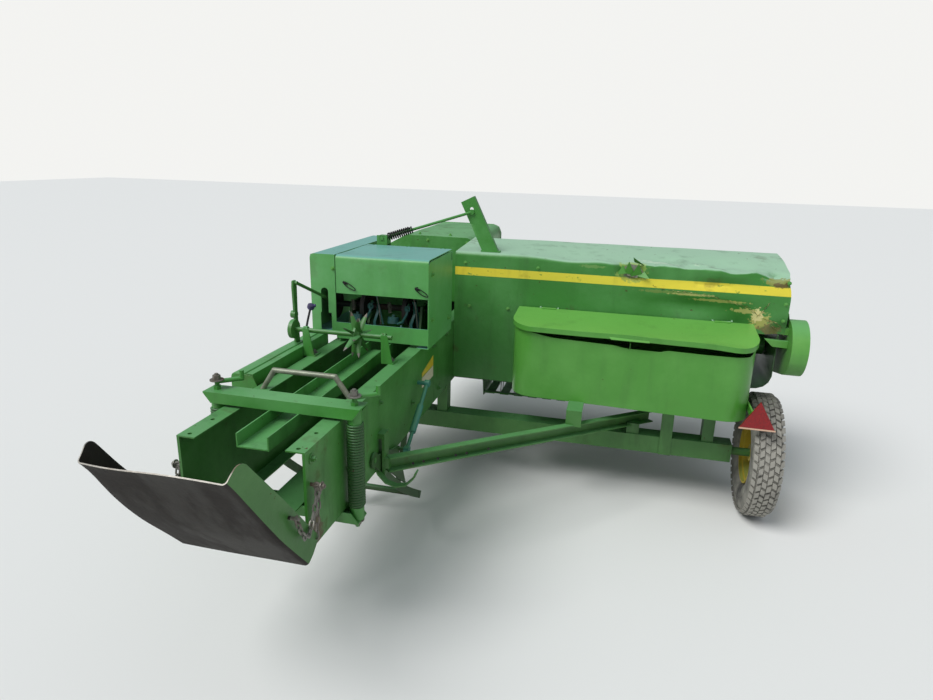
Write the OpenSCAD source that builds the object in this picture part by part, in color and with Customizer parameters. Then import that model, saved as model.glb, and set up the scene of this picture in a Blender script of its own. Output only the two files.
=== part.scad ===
// Square baler, drawn in millimetres as it stands parked on its jack.
// +X is the machine's right side, +Y its direction of travel, +Z up.
// The model is drawn from the rear end of the bale chamber, and placed() at the end
// moves it so that the origin is at the bottom centre of the whole machine.

/* [Bale chamber] */
// Inside width of the bale chamber
bale_w = 460; // [440:1:480]
// Inside height of the bale chamber
bale_h = 360; // [340:1:380]
// Thickness of the chamber's side walls with their liners
wall_t = 10; // [6:1:14]
// Thickness of the chamber's floor plate
floor_t = 6; // [4:1:10]
// Thickness of the flanges along the top of the walls
flange_t = 5; // [4:1:8]
// Width of the flanges along the top of the walls
flange_w = 70; // [50:1:90]
// Height of the underside of the chamber above the ground
chamber_z = 547; // [530:1:570]
// Length of the bale chamber from its rear end to the gearbox plate
case_len = 3050; // [2950:10:3200]
// Length of the slots beside the lower rail
floor_slot_len = 900; // [600:10:1000]

/* [Tension rail and crossbars] */
// Width of the upper tension rail
rail_w = 124; // [100:1:140]
// Height of the upper tension rail
rail_h = 52; // [40:1:60]
// Sheet thickness of the rail and crossbars
rail_t = 5; // [3:1:8]
// Sideways offset of the upper rail from the chamber's centre
rail_x = 18; // [-20:1:30]
// Distance of the rail's rear end from the chamber's rear end
rail_rear = 50; // [20:1:120]
// Distance of the crossbars from the chamber's rear end
cross_y = 266; // [220:1:300]
// Depth of the crossbars along the machine
cross_d = 84; // [60:1:100]
// Length of the crossbars across the machine
cross_len = 640; // [630:1:680]
// Height of the crossbars
cross_h = 44; // [36:1:60]
// Outer radius of the tension springs
spring_r = 35; // [28:1:38]
// Radius of the tension rods
tension_rod_r = 9; // [7:1:12]

/* [Bale chute] */
// Length of the chute plate
chute_len = 632; // [500:2:700]
// Clearance of the chute's wings beside the chamber walls
chute_gap = 6; // [5:1:12]
// Height of the chute's side wings
chute_wing = 82; // [40:1:100]
// Thickness of the chute's sheet
chute_t = 4; // [3:1:8]
// Angle of the raised chute above level
chute_angle = 50; // [30:1:60]

/* [Knotter cover] */
// Distance of the cover's rear face from the chamber's rear end
cover_y = 1234; // [1200:1:1260]
// Depth of the knotter cover along the machine
cover_d = 414; // [380:1:440]
// Height of the cover's top above the ground
cover_top = 1367; // [1330:1:1390]
// Left edge of the cover from the chamber's centre
cover_left = 350; // [330:1:370]
// Right edge of the cover from the chamber's centre
cover_right = 278; // [270:1:290]
// Seam between the fixed left part and the hood, left of the centre
hood_seam = 209; // [190:1:230]
// Height of the hood flap's lower edge above the ground
flap_z = 1174; // [1150:1:1200]
// Height of the sill below the knotter opening
sill_z = 1021; // [1000:1:1040]
// Sheet thickness of the covers
cover_t = 4; // [3:1:6]
// Radius of the folded edges of the covers
fold_r = 22; // [8:1:30]

/* [Feeder house and twine box] */
// Distance of the feeder house's rear face from the chamber's rear end
house_y = 1877; // [1860:1:1890]
// Right end of the feeder house from the chamber's centre
house_right = 2050; // [1950:5:2100]
// Height of the feeder house's rear edge above the ground
house_top = 1324; // [1290:1:1340]
// Height of the ridge above the rear edge
ridge_rise = 26; // [10:1:50]
// Distance of the ridge from the rear face
ridge_d = 500; // [400:5:560]
// Sheet thickness of the feeder house
house_t = 4; // [3:1:6]
// Underside of the feeder pan above the ground
pan_z = 560; // [550:1:580]
// Left end of the twine box from the chamber's centre
box_left = 640; // [600:5:700]
// Length of the twine box across the machine
box_len = 1250; // [1100:5:1300]
// Depth of the twine box along the machine
box_d = 310; // [260:5:330]
// Underside of the twine box above the ground
box_z = 606; // [590:1:640]
// Height of the twine box without its lid
box_h = 416; // [380:1:420]
// Radius of the twine box's rear corners
box_r = 100; // [60:5:140]
// Sheet thickness of the twine box
box_t = 4; // [3:1:6]

/* [Running gear] */
// Outer diameter of the tyres
tyre_d = 667; // [640:1:690]
// Width of the tyres
tyre_w = 150; // [130:1:170]
// Diameter of the wheel rims
rim_d = 330; // [300:1:350]
// Distance of the axle from the chamber's rear end
axle_y = 1785; // [1770:1:1800]
// Right wheel's centre from the chamber's centre
wheel_right_x = 1985; // [1970:1:2020]
// Left wheel's centre from the chamber's centre
wheel_left_x = 455; // [440:1:480]
// Height and depth of the square axle beam
beam_s = 100; // [80:1:110]
// Wall of the square axle beam
beam_t = 8; // [5:1:12]
// Radius of the stub axles
stub_r = 22; // [18:1:26]

/* [Pickup] */
// Radius of the pickup's tine tips
tine_r = 250; // [240:1:255]
// Outer radius of the stripper bands
band_r = 196; // [185:1:200]
// Number of stripper bands
band_count = 16; // [12:1:16]
// Width of one stripper band
band_w = 62; // [50:1:66]
// Height of the reel's axis above the ground
reel_z = 400; // [390:1:420]
// Distance of the reel's axis from the chamber's rear end
reel_y = 2800; // [2780:1:2820]

/* [Front end] */
// Radius of the flywheel
flywheel_r = 245; // [230:1:250]
// Thickness of the flywheel's rim
flywheel_t = 60; // [40:1:70]
// Radius of the power input shaft
input_r = 17.4; // [15:0.1:22]
// Length of the tongue from its pivot to the hitch pin
tongue_len = 1400; // [1300:10:1500]
// Width of the square tongue tube
tongue_s = 90; // [80:1:100]
// Tongue pivot's distance right of the chamber's centre
tongue_x = 120; // [100:1:140]
// Radius of the hitch pin's hole
hitch_r = 16; // [12:0.5:20]
// Distance of the jack from the tongue's pivot
jack_d = 950; // [850:10:1050]

/* [Hidden] */

// Roundness of curves that carry no fit
$fn = 48;
// A cut reaches this far past the face that it opens
cut = 1;
// Gap between sheets that swing past each other
swing_gap = 6;
// Running gap round shafts and pins
run_gap = 0.3;
// A bend's ball is this much larger than its bar
ball_over = 0.4;

// Heights and edges that several pieces share
wall_x = bale_w / 2 + wall_t;
floor_z = chamber_z + floor_t;
rail_top_z = floor_z + bale_h + flange_t;
flange_x = wall_x - flange_w;
cross_mid_y = cross_y + cross_d / 2;
cross_slant = 30;
house_left = wall_x;
axle_z = tyre_d / 2;

// Colours, as the paint shows in daylight
green = [0.16, 0.45, 0.16];
dark_green = [0.10, 0.30, 0.12];
yellow = [0.93, 0.80, 0.16];
steel = [0.55, 0.55, 0.54];
rusty = [0.36, 0.27, 0.20];
black = [0.09, 0.09, 0.09];
red = [0.75, 0.10, 0.10];

// Unit vector along v
function unit(v) = v / norm(v);
// A direction square to d
function square_to(d) = unit(cross(d, abs(d[2]) < 0.9 ? [0, 0, 1] : [1, 0, 0]));
// Points of an arc in a plane, from angle a0 to a1 in n steps
function arc(c, r, a0, a1, n) = [for (i = [0 : n]) let (a = a0 + (a1 - a0) * i / n)
    [c[0] + r * cos(a), c[1] + r * sin(a)]];
// Box between two corners
module block(a, b) {
    translate(a) cube(b - a);
}

// Extrudes a profile drawn in the Y-Z plane from x0 to x1
module along_x(x0, x1) {
    translate([x0, 0, 0]) rotate([90, 0, 90]) linear_extrude(x1 - x0) children();
}

// Extrudes a profile drawn in the X-Z plane from y0 to y1
module along_y(y0, y1) {
    translate([0, y1, 0]) rotate([90, 0, 0]) linear_extrude(y1 - y0) children();
}

// Places children with their z axis from p towards q
module from_to(p, q) {
    d = unit(q - p);
    s = square_to(d);
    t = cross(d, s);
    multmatrix([[s[0], t[0], d[0], p[0]], [s[1], t[1], d[1], p[1]],
        [s[2], t[2], d[2], p[2]], [0, 0, 0, 1]]) children();
}

// Round bar between two points
module rod(p, q, r) {
    from_to(p, q) cylinder(h = norm(q - p), r = r);
}

// Round bar through several points, with a ball at each bend
module bent_bar(p, r) {
    last = len(p) - 1;
    for (i = [0 : last - 1]) rod(p[i], p[i + 1], r);
    for (i = [1 : last - 1]) translate(p[i]) sphere(r + ball_over);
}

// Tube standing along z
module tube(h, r_out, r_in) {
    difference() {
        cylinder(h = h, r = r_out);
        translate([0, 0, -cut]) cylinder(h = h + 2 * cut, r = r_in);
    }
}

// Cylinder along +X from x0 to x1 about the line through (y, z)
module x_cyl(x0, x1, y, z, r) {
    translate([x0, y, z]) rotate([0, 90, 0]) cylinder(h = x1 - x0, r = r);
}

// Cylinder along +Y from y0 to y1 about the line through (x, z)
module y_cyl(y0, y1, x, z, r) {
    translate([x, y0, z]) rotate([-90, 0, 0]) cylinder(h = y1 - y0, r = r);
}

// Bale chamber: walls, floor, flanges and front plate

slot_w = 100;
slot_y = 90;
needle_x = 115;
needle_slot_w = 36;
needle_slot_y = 1290;
needle_slot_len = 130;
feed_y = 1950;
feed_len = 480;
plate_t = 10;
strap_t = 8;
flange_hole_r = 8;
flange_hole_x = flange_x + flange_w / 2;
flange_hole_ys = [25, 155];

module bale_case() {
    color(green) difference() {
        union() {
            along_y(0, case_len) difference() {
                translate([-wall_x, chamber_z]) square([2 * wall_x, rail_top_z - chamber_z]);
                translate([-bale_w / 2, floor_z]) square([bale_w, bale_h]);
                translate([-flange_x, floor_z + bale_h - cut]) square([2 * flange_x, flange_t + 2 * cut]);
            }
            block([-wall_x, case_len, chamber_z], [wall_x, case_len + plate_t, rail_top_z]);
            // Lugs and pin of the chute's hinge
            for (x = lug_xs) {
                x_cyl(x - 12, x + 12, chute_pin_y, chute_pin_z, chute_pin_r + 6);
                block([x - 12, chute_pin_y, chute_pin_z - 8], [x + 12, 24, chamber_z]);
            }
            x_cyl(-205, 205, chute_pin_y, chute_pin_z, chute_pin_r);
            // Pivot pins of the needle yoke
            x_cyl(-yoke_x - yoke_t - 2, -wall_x, yoke_y, yoke_z, yoke_pin_r);
            x_cyl(wall_x, yoke_x + yoke_t + 2, yoke_y, yoke_z, yoke_pin_r);
            x_cyl(-yoke_x - yoke_t - 10, -yoke_x - yoke_t - 2, yoke_y, yoke_z, yoke_pin_r + 8);
            // Swing pin of the tongue with its seat and head
            translate([tongue_x, tongue_y, tongue_low - 24]) cylinder(h = chamber_z - tongue_low + 24, r = tongue_pin_r);
            translate([tongue_x, tongue_y, tongue_low + tongue_s + 1]) cylinder(h = chamber_z - tongue_low - tongue_s - 1, r = tongue_s / 2 + 8);
            translate([tongue_x, tongue_y, tongue_low - 24]) cylinder(h = 22, r = tongue_pin_r + 16);
        }
        // Long slots beside the lower rail
        for (s = [-1, 1])
            translate([s * (flange_x - slot_w / 2) - slot_w / 2, slot_y, chamber_z - cut])
                cube([slot_w, floor_slot_len, floor_t + 2 * cut]);
        // Slots for the two needles
        for (s = [-1, 1])
            translate([s * needle_x - needle_slot_w / 2, needle_slot_y, chamber_z - cut])
                cube([needle_slot_w, needle_slot_len, floor_t + 2 * cut]);
        // Feed opening in the right wall
        block([wall_x - wall_t - cut, feed_y, floor_z + 30],
            [wall_x + cut, feed_y + feed_len, floor_z + bale_h - 30]);
        // Holes in the flanges at the rear end
        for (s = [-1, 1]) for (y = flange_hole_ys)
            translate([s * flange_hole_x, y, rail_top_z - flange_t - cut])
                cylinder(h = flange_t + 2 * cut, r = flange_hole_r);
    }
}

// Upper rail, crossbars, springs and cranks that squeeze the bale

rail_foot_z = rail_top_z + 12 - rail_h;
rail_head_z = rail_foot_z + rail_h;

module tension_rail() {
    color(green) difference() {
        along_y(rail_rear, cover_y + 30) difference() {
            translate([rail_x - rail_w / 2, rail_foot_z]) square([rail_w, rail_h]);
            translate([rail_x - rail_w / 2 + rail_t, rail_foot_z + rail_t])
                square([rail_w - 2 * rail_t, rail_h]);
        }
        // The channel's sides slope down to its rear end
        translate([rail_x - rail_w, rail_rear, rail_head_z]) rotate([-30, 0, 0])
            translate([0, -60, 0]) cube([2 * rail_w, 60, rail_h]);
    }
}

// Plan of a crossbar with its four corners cut off
// Crossbar as a folded channel with slanted ends, open side down when up is true
module crossbar(z, up) {
    top = up ? cross_len / 2 : spring_x + 20;
    low = top - cross_slant;
    difference() {
        along_y(cross_y, cross_y + cross_d) polygon(up
            ? [[-low, z], [low, z], [top, z + cross_h - rail_t], [top, z + cross_h], [-top, z + cross_h], [-top, z + cross_h - rail_t]]
            : [[-top, z], [top, z], [top, z + rail_t], [low, z + cross_h], [-low, z + cross_h], [-top, z + rail_t]]);
        along_y(cross_y + rail_t, cross_y + cross_d - rail_t)
            polygon(up ? [[-top, z - cut], [top, z - cut], [top, z + cross_h - rail_t], [-top, z + cross_h - rail_t]]
            : [[-top, z + rail_t], [top, z + rail_t], [top, z + cross_h + cut], [-top, z + cross_h + cut]]);
        for (s = [-1, 1]) translate([s * spring_x, cross_mid_y, z - cut])
            cylinder(h = cross_h + 2 * cut, r = tension_rod_r + run_gap);
    }
}

spring_x = wall_x + spring_r + 8;
upper_cross_z = rail_head_z;
lower_cross_z = chamber_z - cross_h;

module crossbars() {
    color(green) {
        crossbar(upper_cross_z, true);
        crossbar(lower_cross_z, false);
    }
}

spring_low = chamber_z + 14;
spring_high = rail_top_z - 14;
spring_coils = 22;

// Close coils as a revolved profile of half rounds
module coil_body(h, r, coils) {
    wire = h / coils / 2;
    rotate_extrude() union() {
        translate([r - 1.6 * wire, 0]) square([wire, h]);
        for (i = [0 : coils - 1]) translate([r - wire, (2 * i + 1) * wire]) circle(0.97 * wire, $fn = 16);
    }
}

module tension_springs() {
    color(steel) for (s = [-1, 1])
        translate([s * spring_x, cross_mid_y, spring_low])
            coil_body(spring_high - spring_low, spring_r, spring_coils);
}

crank_reach = 60;
crank_rise = 34;

module tension_cranks() {
    color(dark_green) for (s = [-1, 1]) {
        x = s * spring_x;
        top = upper_cross_z + cross_h;
        // Rod from under the lower crossbar up through the spring
        translate([x, cross_mid_y, lower_cross_z - 30])
            cylinder(h = top + 12 - lower_cross_z + 30, r = tension_rod_r);
        // Seats of the spring against both crossbars
        translate([x, cross_mid_y, lower_cross_z + rail_t])
            cylinder(h = spring_low - lower_cross_z - rail_t, r = spring_r - 8);
        translate([x, cross_mid_y, spring_high])
            cylinder(h = upper_cross_z + cross_h - rail_t - spring_high, r = spring_r - 8);
        translate([x, cross_mid_y, top]) cylinder(h = 14, r = tension_rod_r + 6, $fn = 6);
        translate([x, cross_mid_y, lower_cross_z - 14]) cylinder(h = 14, r = tension_rod_r + 6, $fn = 6);
        // Crank handle
        bent_bar([[x, cross_mid_y, top], [x, cross_mid_y, top + 30],
            [x + 70, cross_mid_y + crank_reach, top + 30],
            [x + 70, cross_mid_y + crank_reach, top + 30 + crank_rise]], tension_rod_r);
    }
}

rail_bar_r = 11;

rail_y = 500;
rail_high = 1002;

// Rail bent over the chamber from flange to flange
module hand_rail() {
    deep = 24;
    lean = 55 / (rail_high - rail_top_z);
    color(steel) difference() {
        bent_bar([[-flange_hole_x - lean * deep, rail_y, rail_top_z - deep], [-flange_hole_x + 55, rail_y, rail_high],
            [flange_x - 52, rail_y, rail_high], [flange_x + 10 + lean * deep, rail_y, rail_top_z - deep]], rail_bar_r);
        block([-wall_x, rail_y - 40, rail_top_z - 80], [wall_x, rail_y + 40, rail_top_z]);
    }
}

shelf_y = 520;
shelf_left = 365;
shelf_right = wall_x + 22;
groove_x = 298;
shelf_low = 840;
shelf_high = 965;

module side_shelf() {
    t = cover_t;
    color(green) {
        // Folded cover with a groove along its top and a foot on the chamber's wall
        along_y(shelf_y, cover_y - 4) polygon(concat(
            [[-wall_x, shelf_low], [-wall_x, shelf_low + t], [-shelf_right, shelf_low + t], [-shelf_right, shelf_high],
            [-groove_x + 6, shelf_high], [-groove_x, shelf_high - 7], [-groove_x - 6, shelf_high]],
            arc([-shelf_left + fold_r, shelf_high - fold_r], fold_r, 90, 180, 6),
            [[-shelf_left, shelf_low], [-shelf_left + t, shelf_low]],
            arc([-shelf_left + fold_r, shelf_high - fold_r], fold_r - t, 180, 90, 6),
            [[-groove_x - 8, shelf_high - t], [-groove_x, shelf_high - 7 - t], [-groove_x + 8, shelf_high - t],
            [-shelf_right - t, shelf_high - t], [-shelf_right - t, shelf_low]]));
        // End plate that closes the cover at the rear
        along_y(shelf_y - t, shelf_y) polygon(concat([[-wall_x, shelf_low + 10], [-wall_x, shelf_high - 60],
            [-shelf_right, shelf_high - 6]],
            arc([-shelf_left + fold_r + 2, shelf_high - fold_r - 2], fold_r, 90, 180, 6),
            [[-shelf_left + 2, shelf_low + 10]]));
    }
}

// Chute that the bales slide down on, hinged at the chamber's rear lower edge

chute_w = 2 * (wall_x + chute_gap + chute_t);
chute_pin_z = chamber_z - 14;
chute_pin_y = -20;
lug_xs = [-85, 85];
chute_pin_r = 9;
chute_past = 6;
chute_drop = chute_pin_r + 7 + 2 + chute_t;
wing_corner = 40;
hook_at = [-270, 52];
hook_r = 6;
wing_flare = 10;

// Chute as it lies level, its hinge at the origin and its free edge towards -Y
module level_chute() {
    half = chute_w / 2;
    r = 16;
    wide = half + wing_flare;
    low = -chute_drop;
    // Plate with both wings folded up, in one bent section that runs past the hinge and hides it
    intersection() {
        along_y(-chute_len, chute_past)
            polygon(concat([[-wide, chute_wing]], arc([-half + r, low + r], r, 180, 270, 6),
                arc([half - r, low + r], r, 270, 360, 6), [[wide, chute_wing], [wide - chute_t, chute_wing]],
                arc([half - r, low + r], r - chute_t, 360, 270, 6),
                arc([-half + r, low + r], r - chute_t, 270, 180, 6), [[-wide + chute_t, chute_wing]]));
        // Free edge with the wings' corners rounded
        along_x(-wide - cut, wide + cut) polygon(concat([[chute_past, low - cut], [chute_past, 20], [-10, chute_wing + cut]],
            arc([-chute_len + wing_corner, chute_wing - wing_corner], wing_corner, 90, 180, 8), [[-chute_len, low - cut]]));
    }
    // Knuckles round the hinge pin
    for (x = [-170, 0, 170]) difference() {
        union() {
            x_cyl(x - 30, x + 30, 0, 0, chute_pin_r + 7);
            block([x - 30, -chute_pin_r - 4, low + chute_t / 2], [x + 30, chute_past - 2, -chute_pin_r - 2]);
        }
        x_cyl(x - 31, x + 31, 0, 0, chute_pin_r + run_gap);
    }
    // Pins on both wings that the chains hook on
    for (s = [-1, 1]) x_cyl(s > 0 ? half : -chain_x - 12, s > 0 ? chain_x + 12 : -half, hook_at[0], hook_at[1], hook_r);
}

module bale_chute() {
    color(rusty) translate([0, chute_pin_y, chute_pin_z]) rotate([-chute_angle, 0, 0]) level_chute();
}

// Chains that hold the chute

link_wire = 8;
link_len = 40;
link_w = 26;
link_gap = 0.3;
link_pitch = link_len - 2 * link_wire - link_gap;

// Outline with round ends between two points
module round_bar(p, q, r) {
    translate(p) circle(r);
    translate(q) circle(r);
    translate(p) rotate(atan2(q[1] - p[1], q[0] - p[0])) translate([0, -r]) square([norm(q - p), 2 * r]);
}

// One chain link as an oval ring standing in its own X-Z plane
module chain_link() {
    c = (link_len - link_w) / 2;
    rotate([90, 0, 0]) translate([0, 0, -link_wire / 2]) linear_extrude(link_wire) difference() {
        round_bar([0, -c], [0, c], link_w / 2);
        round_bar([0, -c], [0, c], link_w / 2 - link_wire);
    }
}

// Straight run of links from p towards q, every second one turned
module chain_run(p, q) {
    count = floor(norm(q - p) / link_pitch);
    from_to(p, q) for (i = [0 : count - 1])
        translate([0, 0, (i + 0.5) * link_pitch]) rotate([0, 0, i % 2 == 0 ? 0 : 90]) chain_link();
}

chain_x = wall_x + chute_gap + 36;
chain_y = 40;
chain_z = 770;

chain_tail = 170;
wing_hook = [chain_x, chute_pin_y + hook_at[0] * cos(chute_angle) + hook_at[1] * sin(chute_angle),
    chute_pin_z - hook_at[0] * sin(chute_angle) + hook_at[1] * cos(chute_angle)];

module chute_chains() {
    color(steel) for (s = [-1, 1]) mirror([s < 0 ? 1 : 0, 0, 0]) {
        // Shackle on the chamber wall
        x_cyl(wall_x, chain_x + 12, chain_y, chain_z, 7);
        // Loose tail and the run up to the chute's wing
        chain_run([chain_x, chain_y, chain_z - 8], [chain_x, chain_y, chain_z - 8 - chain_tail]);
        chain_run([chain_x, chain_y - 8, chain_z], wing_hook);
    }
}

// Knotter cover, hood, frame and gears over the chamber

cover_end = cover_y + cover_d;
housing_end = 2040;
seat_gap = 0.3;
base_left = 196;
base_right = 216;

module knotter_cover() {
    color(green) difference() {
        union() {
            // Hinge pin of the hood and the lugs that hold it
            x_cyl(hinge_lugs[0] - 20, hinge_lugs[2] + 20, hinge_y, hinge_z, hinge_pin_r);
            for (x = hinge_lugs) {
                x_cyl(x - 8, x + 8, hinge_y, hinge_z, hinge_r);
                block([x - 8, hinge_y, hinge_z - 40], [x + 8, cover_end + 20 + cover_t, hinge_z]);
            }
            // Left housing: a folded box that runs forward over the knotter drive
            along_y(cover_y, housing_end) difference() {
                polygon(concat(arc([-cover_left + fold_r, cover_top - fold_r], fold_r, 180, 90, 6),
                    [[-hood_seam - swing_gap, cover_top], [-hood_seam - swing_gap, cover_top - 40],
                    [-hood_seam - swing_gap - cover_t, cover_top - 40],
                    [-hood_seam - swing_gap - cover_t, cover_top - cover_t]],
                    arc([-cover_left + fold_r, cover_top - fold_r], fold_r - cover_t, 90, 180, 6),
                    [[-cover_left + cover_t, shelf_high], [-cover_left, shelf_high]]));
            }
            // Its rear face
            block([-cover_left + cover_t, cover_y, shelf_high], [-hood_seam - swing_gap, cover_y + cover_t, cover_top - cover_t]);
            // Its front end
            block([-cover_left + cover_t, housing_end - cover_t, shelf_high], [-hood_seam - swing_gap, housing_end, cover_top - cover_t]);
            // Right side panel
            along_x(cover_right - cover_t, cover_right) polygon([[cover_y, rail_top_z],
                [cover_y, cover_top - fold_r - swing_gap], [cover_y + fold_r, cover_top - cover_t - swing_gap],
                [cover_end, cover_top - cover_t - swing_gap], [cover_end, rail_top_z]]);
            // Sill under the opening, folded forward at its foot
            block([-hood_seam - swing_gap, cover_y, rail_head_z + 6], [cover_right, cover_y + cover_t, sill_z]);
            // Front wall
            block([-hood_seam - swing_gap - cover_t, cover_end + 20, rail_top_z], [cover_right, cover_end + 20 + cover_t, cover_top - 16]);
            block([cover_right - cover_t, cover_end - cut, rail_top_z], [cover_right, cover_end + 20 + cut, cover_top - 60]);
            // Base angles on the chamber's flanges
            block([base_right, cover_y, rail_top_z], [cover_right, cover_end + 20, rail_top_z + cover_t]);
            block([-cover_left, cover_y, shelf_high], [-base_left, cover_end + 20, shelf_high + cover_t]);
            block([-base_left - cover_t, cover_y, rail_top_z], [-base_left, cover_end + 20, shelf_high + cover_t]);
        }
        // Slot of the trip rod in the left panel
        block([-295, cover_y - cut, 1064], [-256, cover_y + cover_t + cut, 1176]);
        y_cyl(cover_y - cut, cover_y + cover_t + cut, -275.5, 1176, 19.5);
        block([-300, cover_y - cut, shelf_high + cover_t], [-240, cover_y + cover_t + cut, 1066]);
    }
}

hinge_r = 8;
hinge_pin_r = 4;
hinge_lugs = [-160, 34, 228];
hinge_y = cover_end + 8;
hinge_z = cover_top - hinge_r;
flap_y = cover_y - seat_gap;

module knotter_hood() {
    color(green) difference() {
        union() {
            along_x(-hood_seam, cover_right) polygon(concat(
                [[flap_y - cover_t, flap_z]],
                arc([flap_y - cover_t + fold_r, cover_top - fold_r], fold_r, 180, 90, 8),
                [[hinge_y, cover_top], [hinge_y, cover_top - cover_t]],
                arc([flap_y - cover_t + fold_r, cover_top - fold_r], fold_r - cover_t, 90, 180, 8),
                [[flap_y, flap_z]]));
            x_cyl(hinge_lugs[0] - 16, hinge_lugs[2] + 16, hinge_y, hinge_z, hinge_r);
        }
        x_cyl(hinge_lugs[0] - 17, hinge_lugs[2] + 17, hinge_y, hinge_z, hinge_pin_r + run_gap);
        // Notches for the lugs
        for (x = hinge_lugs)
            block([x - 14, hinge_y - hinge_r - 6, hinge_z - hinge_r - cut], [x + 14, hinge_y + hinge_r + cut, cover_top + cut]);
    }
}

knot_y = 1420;
knot_z = 1075;
knot_shaft_r = 16;
gear_r = 92;
gear_t = 22;
knot_xs = [-needle_x, needle_x];

module knotter_frame() {
    color(dark_green) {
        // Side brackets that carry the shaft
        for (x = [-190, 196]) difference() {
            along_x(x, x + 12) polygon([[knot_y - 110, rail_top_z], [knot_y + 110, rail_top_z],
                [knot_y + 60, knot_z + 30], [knot_y - 60, knot_z + 30]]);
            x_cyl(x - cut, x + 12 + cut, knot_y, knot_z, knot_shaft_r + run_gap);
        }
        // Knotter frame castings below each gear
        for (x = knot_xs) along_x(x + gear_t / 2 + 12, x + gear_t / 2 + 24)
            polygon([[knot_y - 100, rail_top_z + 20], [knot_y + 90, rail_top_z + 20],
                [knot_y + 60, knot_z - 60], [knot_y + 20, knot_z - 24], [knot_y - 30, knot_z - 24], [knot_y - 70, knot_z - 60]]);
        // Cross bar that carries the castings
        block([-190, knot_y + 60, rail_top_z + 12], [208, knot_y + 90, rail_top_z + 30]);
        x_cyl(-178, 196, knot_y - 80, rail_top_z + 34, 12);
    }
}

module knotter_gears() {
    color(dark_green) {
        x_cyl(-cover_left + 30, 216, knot_y, knot_z, knot_shaft_r);
        for (x = knot_xs) {
            x_cyl(x - gear_t / 2, x + gear_t / 2, knot_y, knot_z, gear_r);
            x_cyl(x - gear_t / 2 - 18, x + gear_t / 2 + 6, knot_y, knot_z, 36);
        }
        // Drive wheel in the left housing
        x_cyl(-cover_left + 40, -cover_left + 56, knot_y, knot_z, 84);
    }
}

// Star wheel that measures the bale's length

star_x = 6;
star_y = 985;
star_z = 1038;
star_r = 115;
star_points = 12;
star_root = 44;
star_t = 6;
star_shaft_r = 11;
bracket_w = 60;
bracket_d = 60;
bracket_left = -wall_x - 20;
bracket_right = flange_x - 35;

module meter_brackets() {
    foot = rail_top_z;
    face_y = star_y - bracket_d / 2;
    color(green) for (x = [bracket_left, bracket_right]) difference() {
        union() {
            // Foot, side with the bearing, and tapered face towards the rear
            block([x, face_y, foot], [x + bracket_w, star_y + bracket_d / 2, foot + 6]);
            along_x(x, x + 6) polygon([[face_y, foot], [star_y + bracket_d / 2, foot],
                [star_y + 18, star_z + 16], [face_y, star_z + 16]]);
            along_y(face_y, face_y + 5) polygon([[x, foot], [x + bracket_w - 4, foot], [x + 30, star_z + 16], [x, star_z + 16]]);
            x_cyl(x - 8, x + 14, star_y, star_z, star_shaft_r + 7);
        }
        x_cyl(x - 9, x + 15, star_y, star_z, star_shaft_r + run_gap);
    }
}

disc_r = 46;
shaft_left = -312;

module star_wheel() {
    color(dark_green) {
        x_cyl(shaft_left, bracket_right + 22, star_y, star_z, star_shaft_r);
        x_cyl(star_x - 20, star_x + 20, star_y, star_z, 30);
        for (s = [-1, 1]) translate([star_x + s * 9 - star_t / 2, star_y, star_z]) rotate([90, 0, 90])
            linear_extrude(star_t) rotate(s * 90 / star_points) polygon([for (i = [0 : star_points - 1],
                k = [[-11, star_root], [-1, star_r], [1, star_r], [11, star_root]]) let (a = i * 360 / star_points + k[0])
                [k[1] * cos(a), k[1] * sin(a)]]);
        x_cyl(-300, -284, star_y, star_z, disc_r);
    }
}

arm_x = -330;

module trip_arm() {
    color(dark_green) {
        // Flat arm with its knuckle, standing on the shelf
        along_x(arm_x, arm_x + 10) polygon([[1000, shelf_high], [1040, shelf_high], [1030, 1100],
            [1034, 1240], [1026, 1268], [1004, 1268], [998, 1240], [1004, 1100]]);
        x_cyl(arm_x - 14, arm_x + 10, 1016, 1102, 18);
        // Link from its top to the cover's slot
        rod([arm_x + 20, 1016, 1256], [-276, 1300, 1120], 8);
        x_cyl(arm_x - 4, arm_x + 24, 1016, 1256, 9);
    }
}

// Feeder house, pan, auger and drive shield

house_front = 2640;
pan_front = 2480;
house_end_z = 981;
auger_y = 2180;
auger_z = 850;
auger_tube_r = 60;
auger_flight_r = 190;

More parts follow.
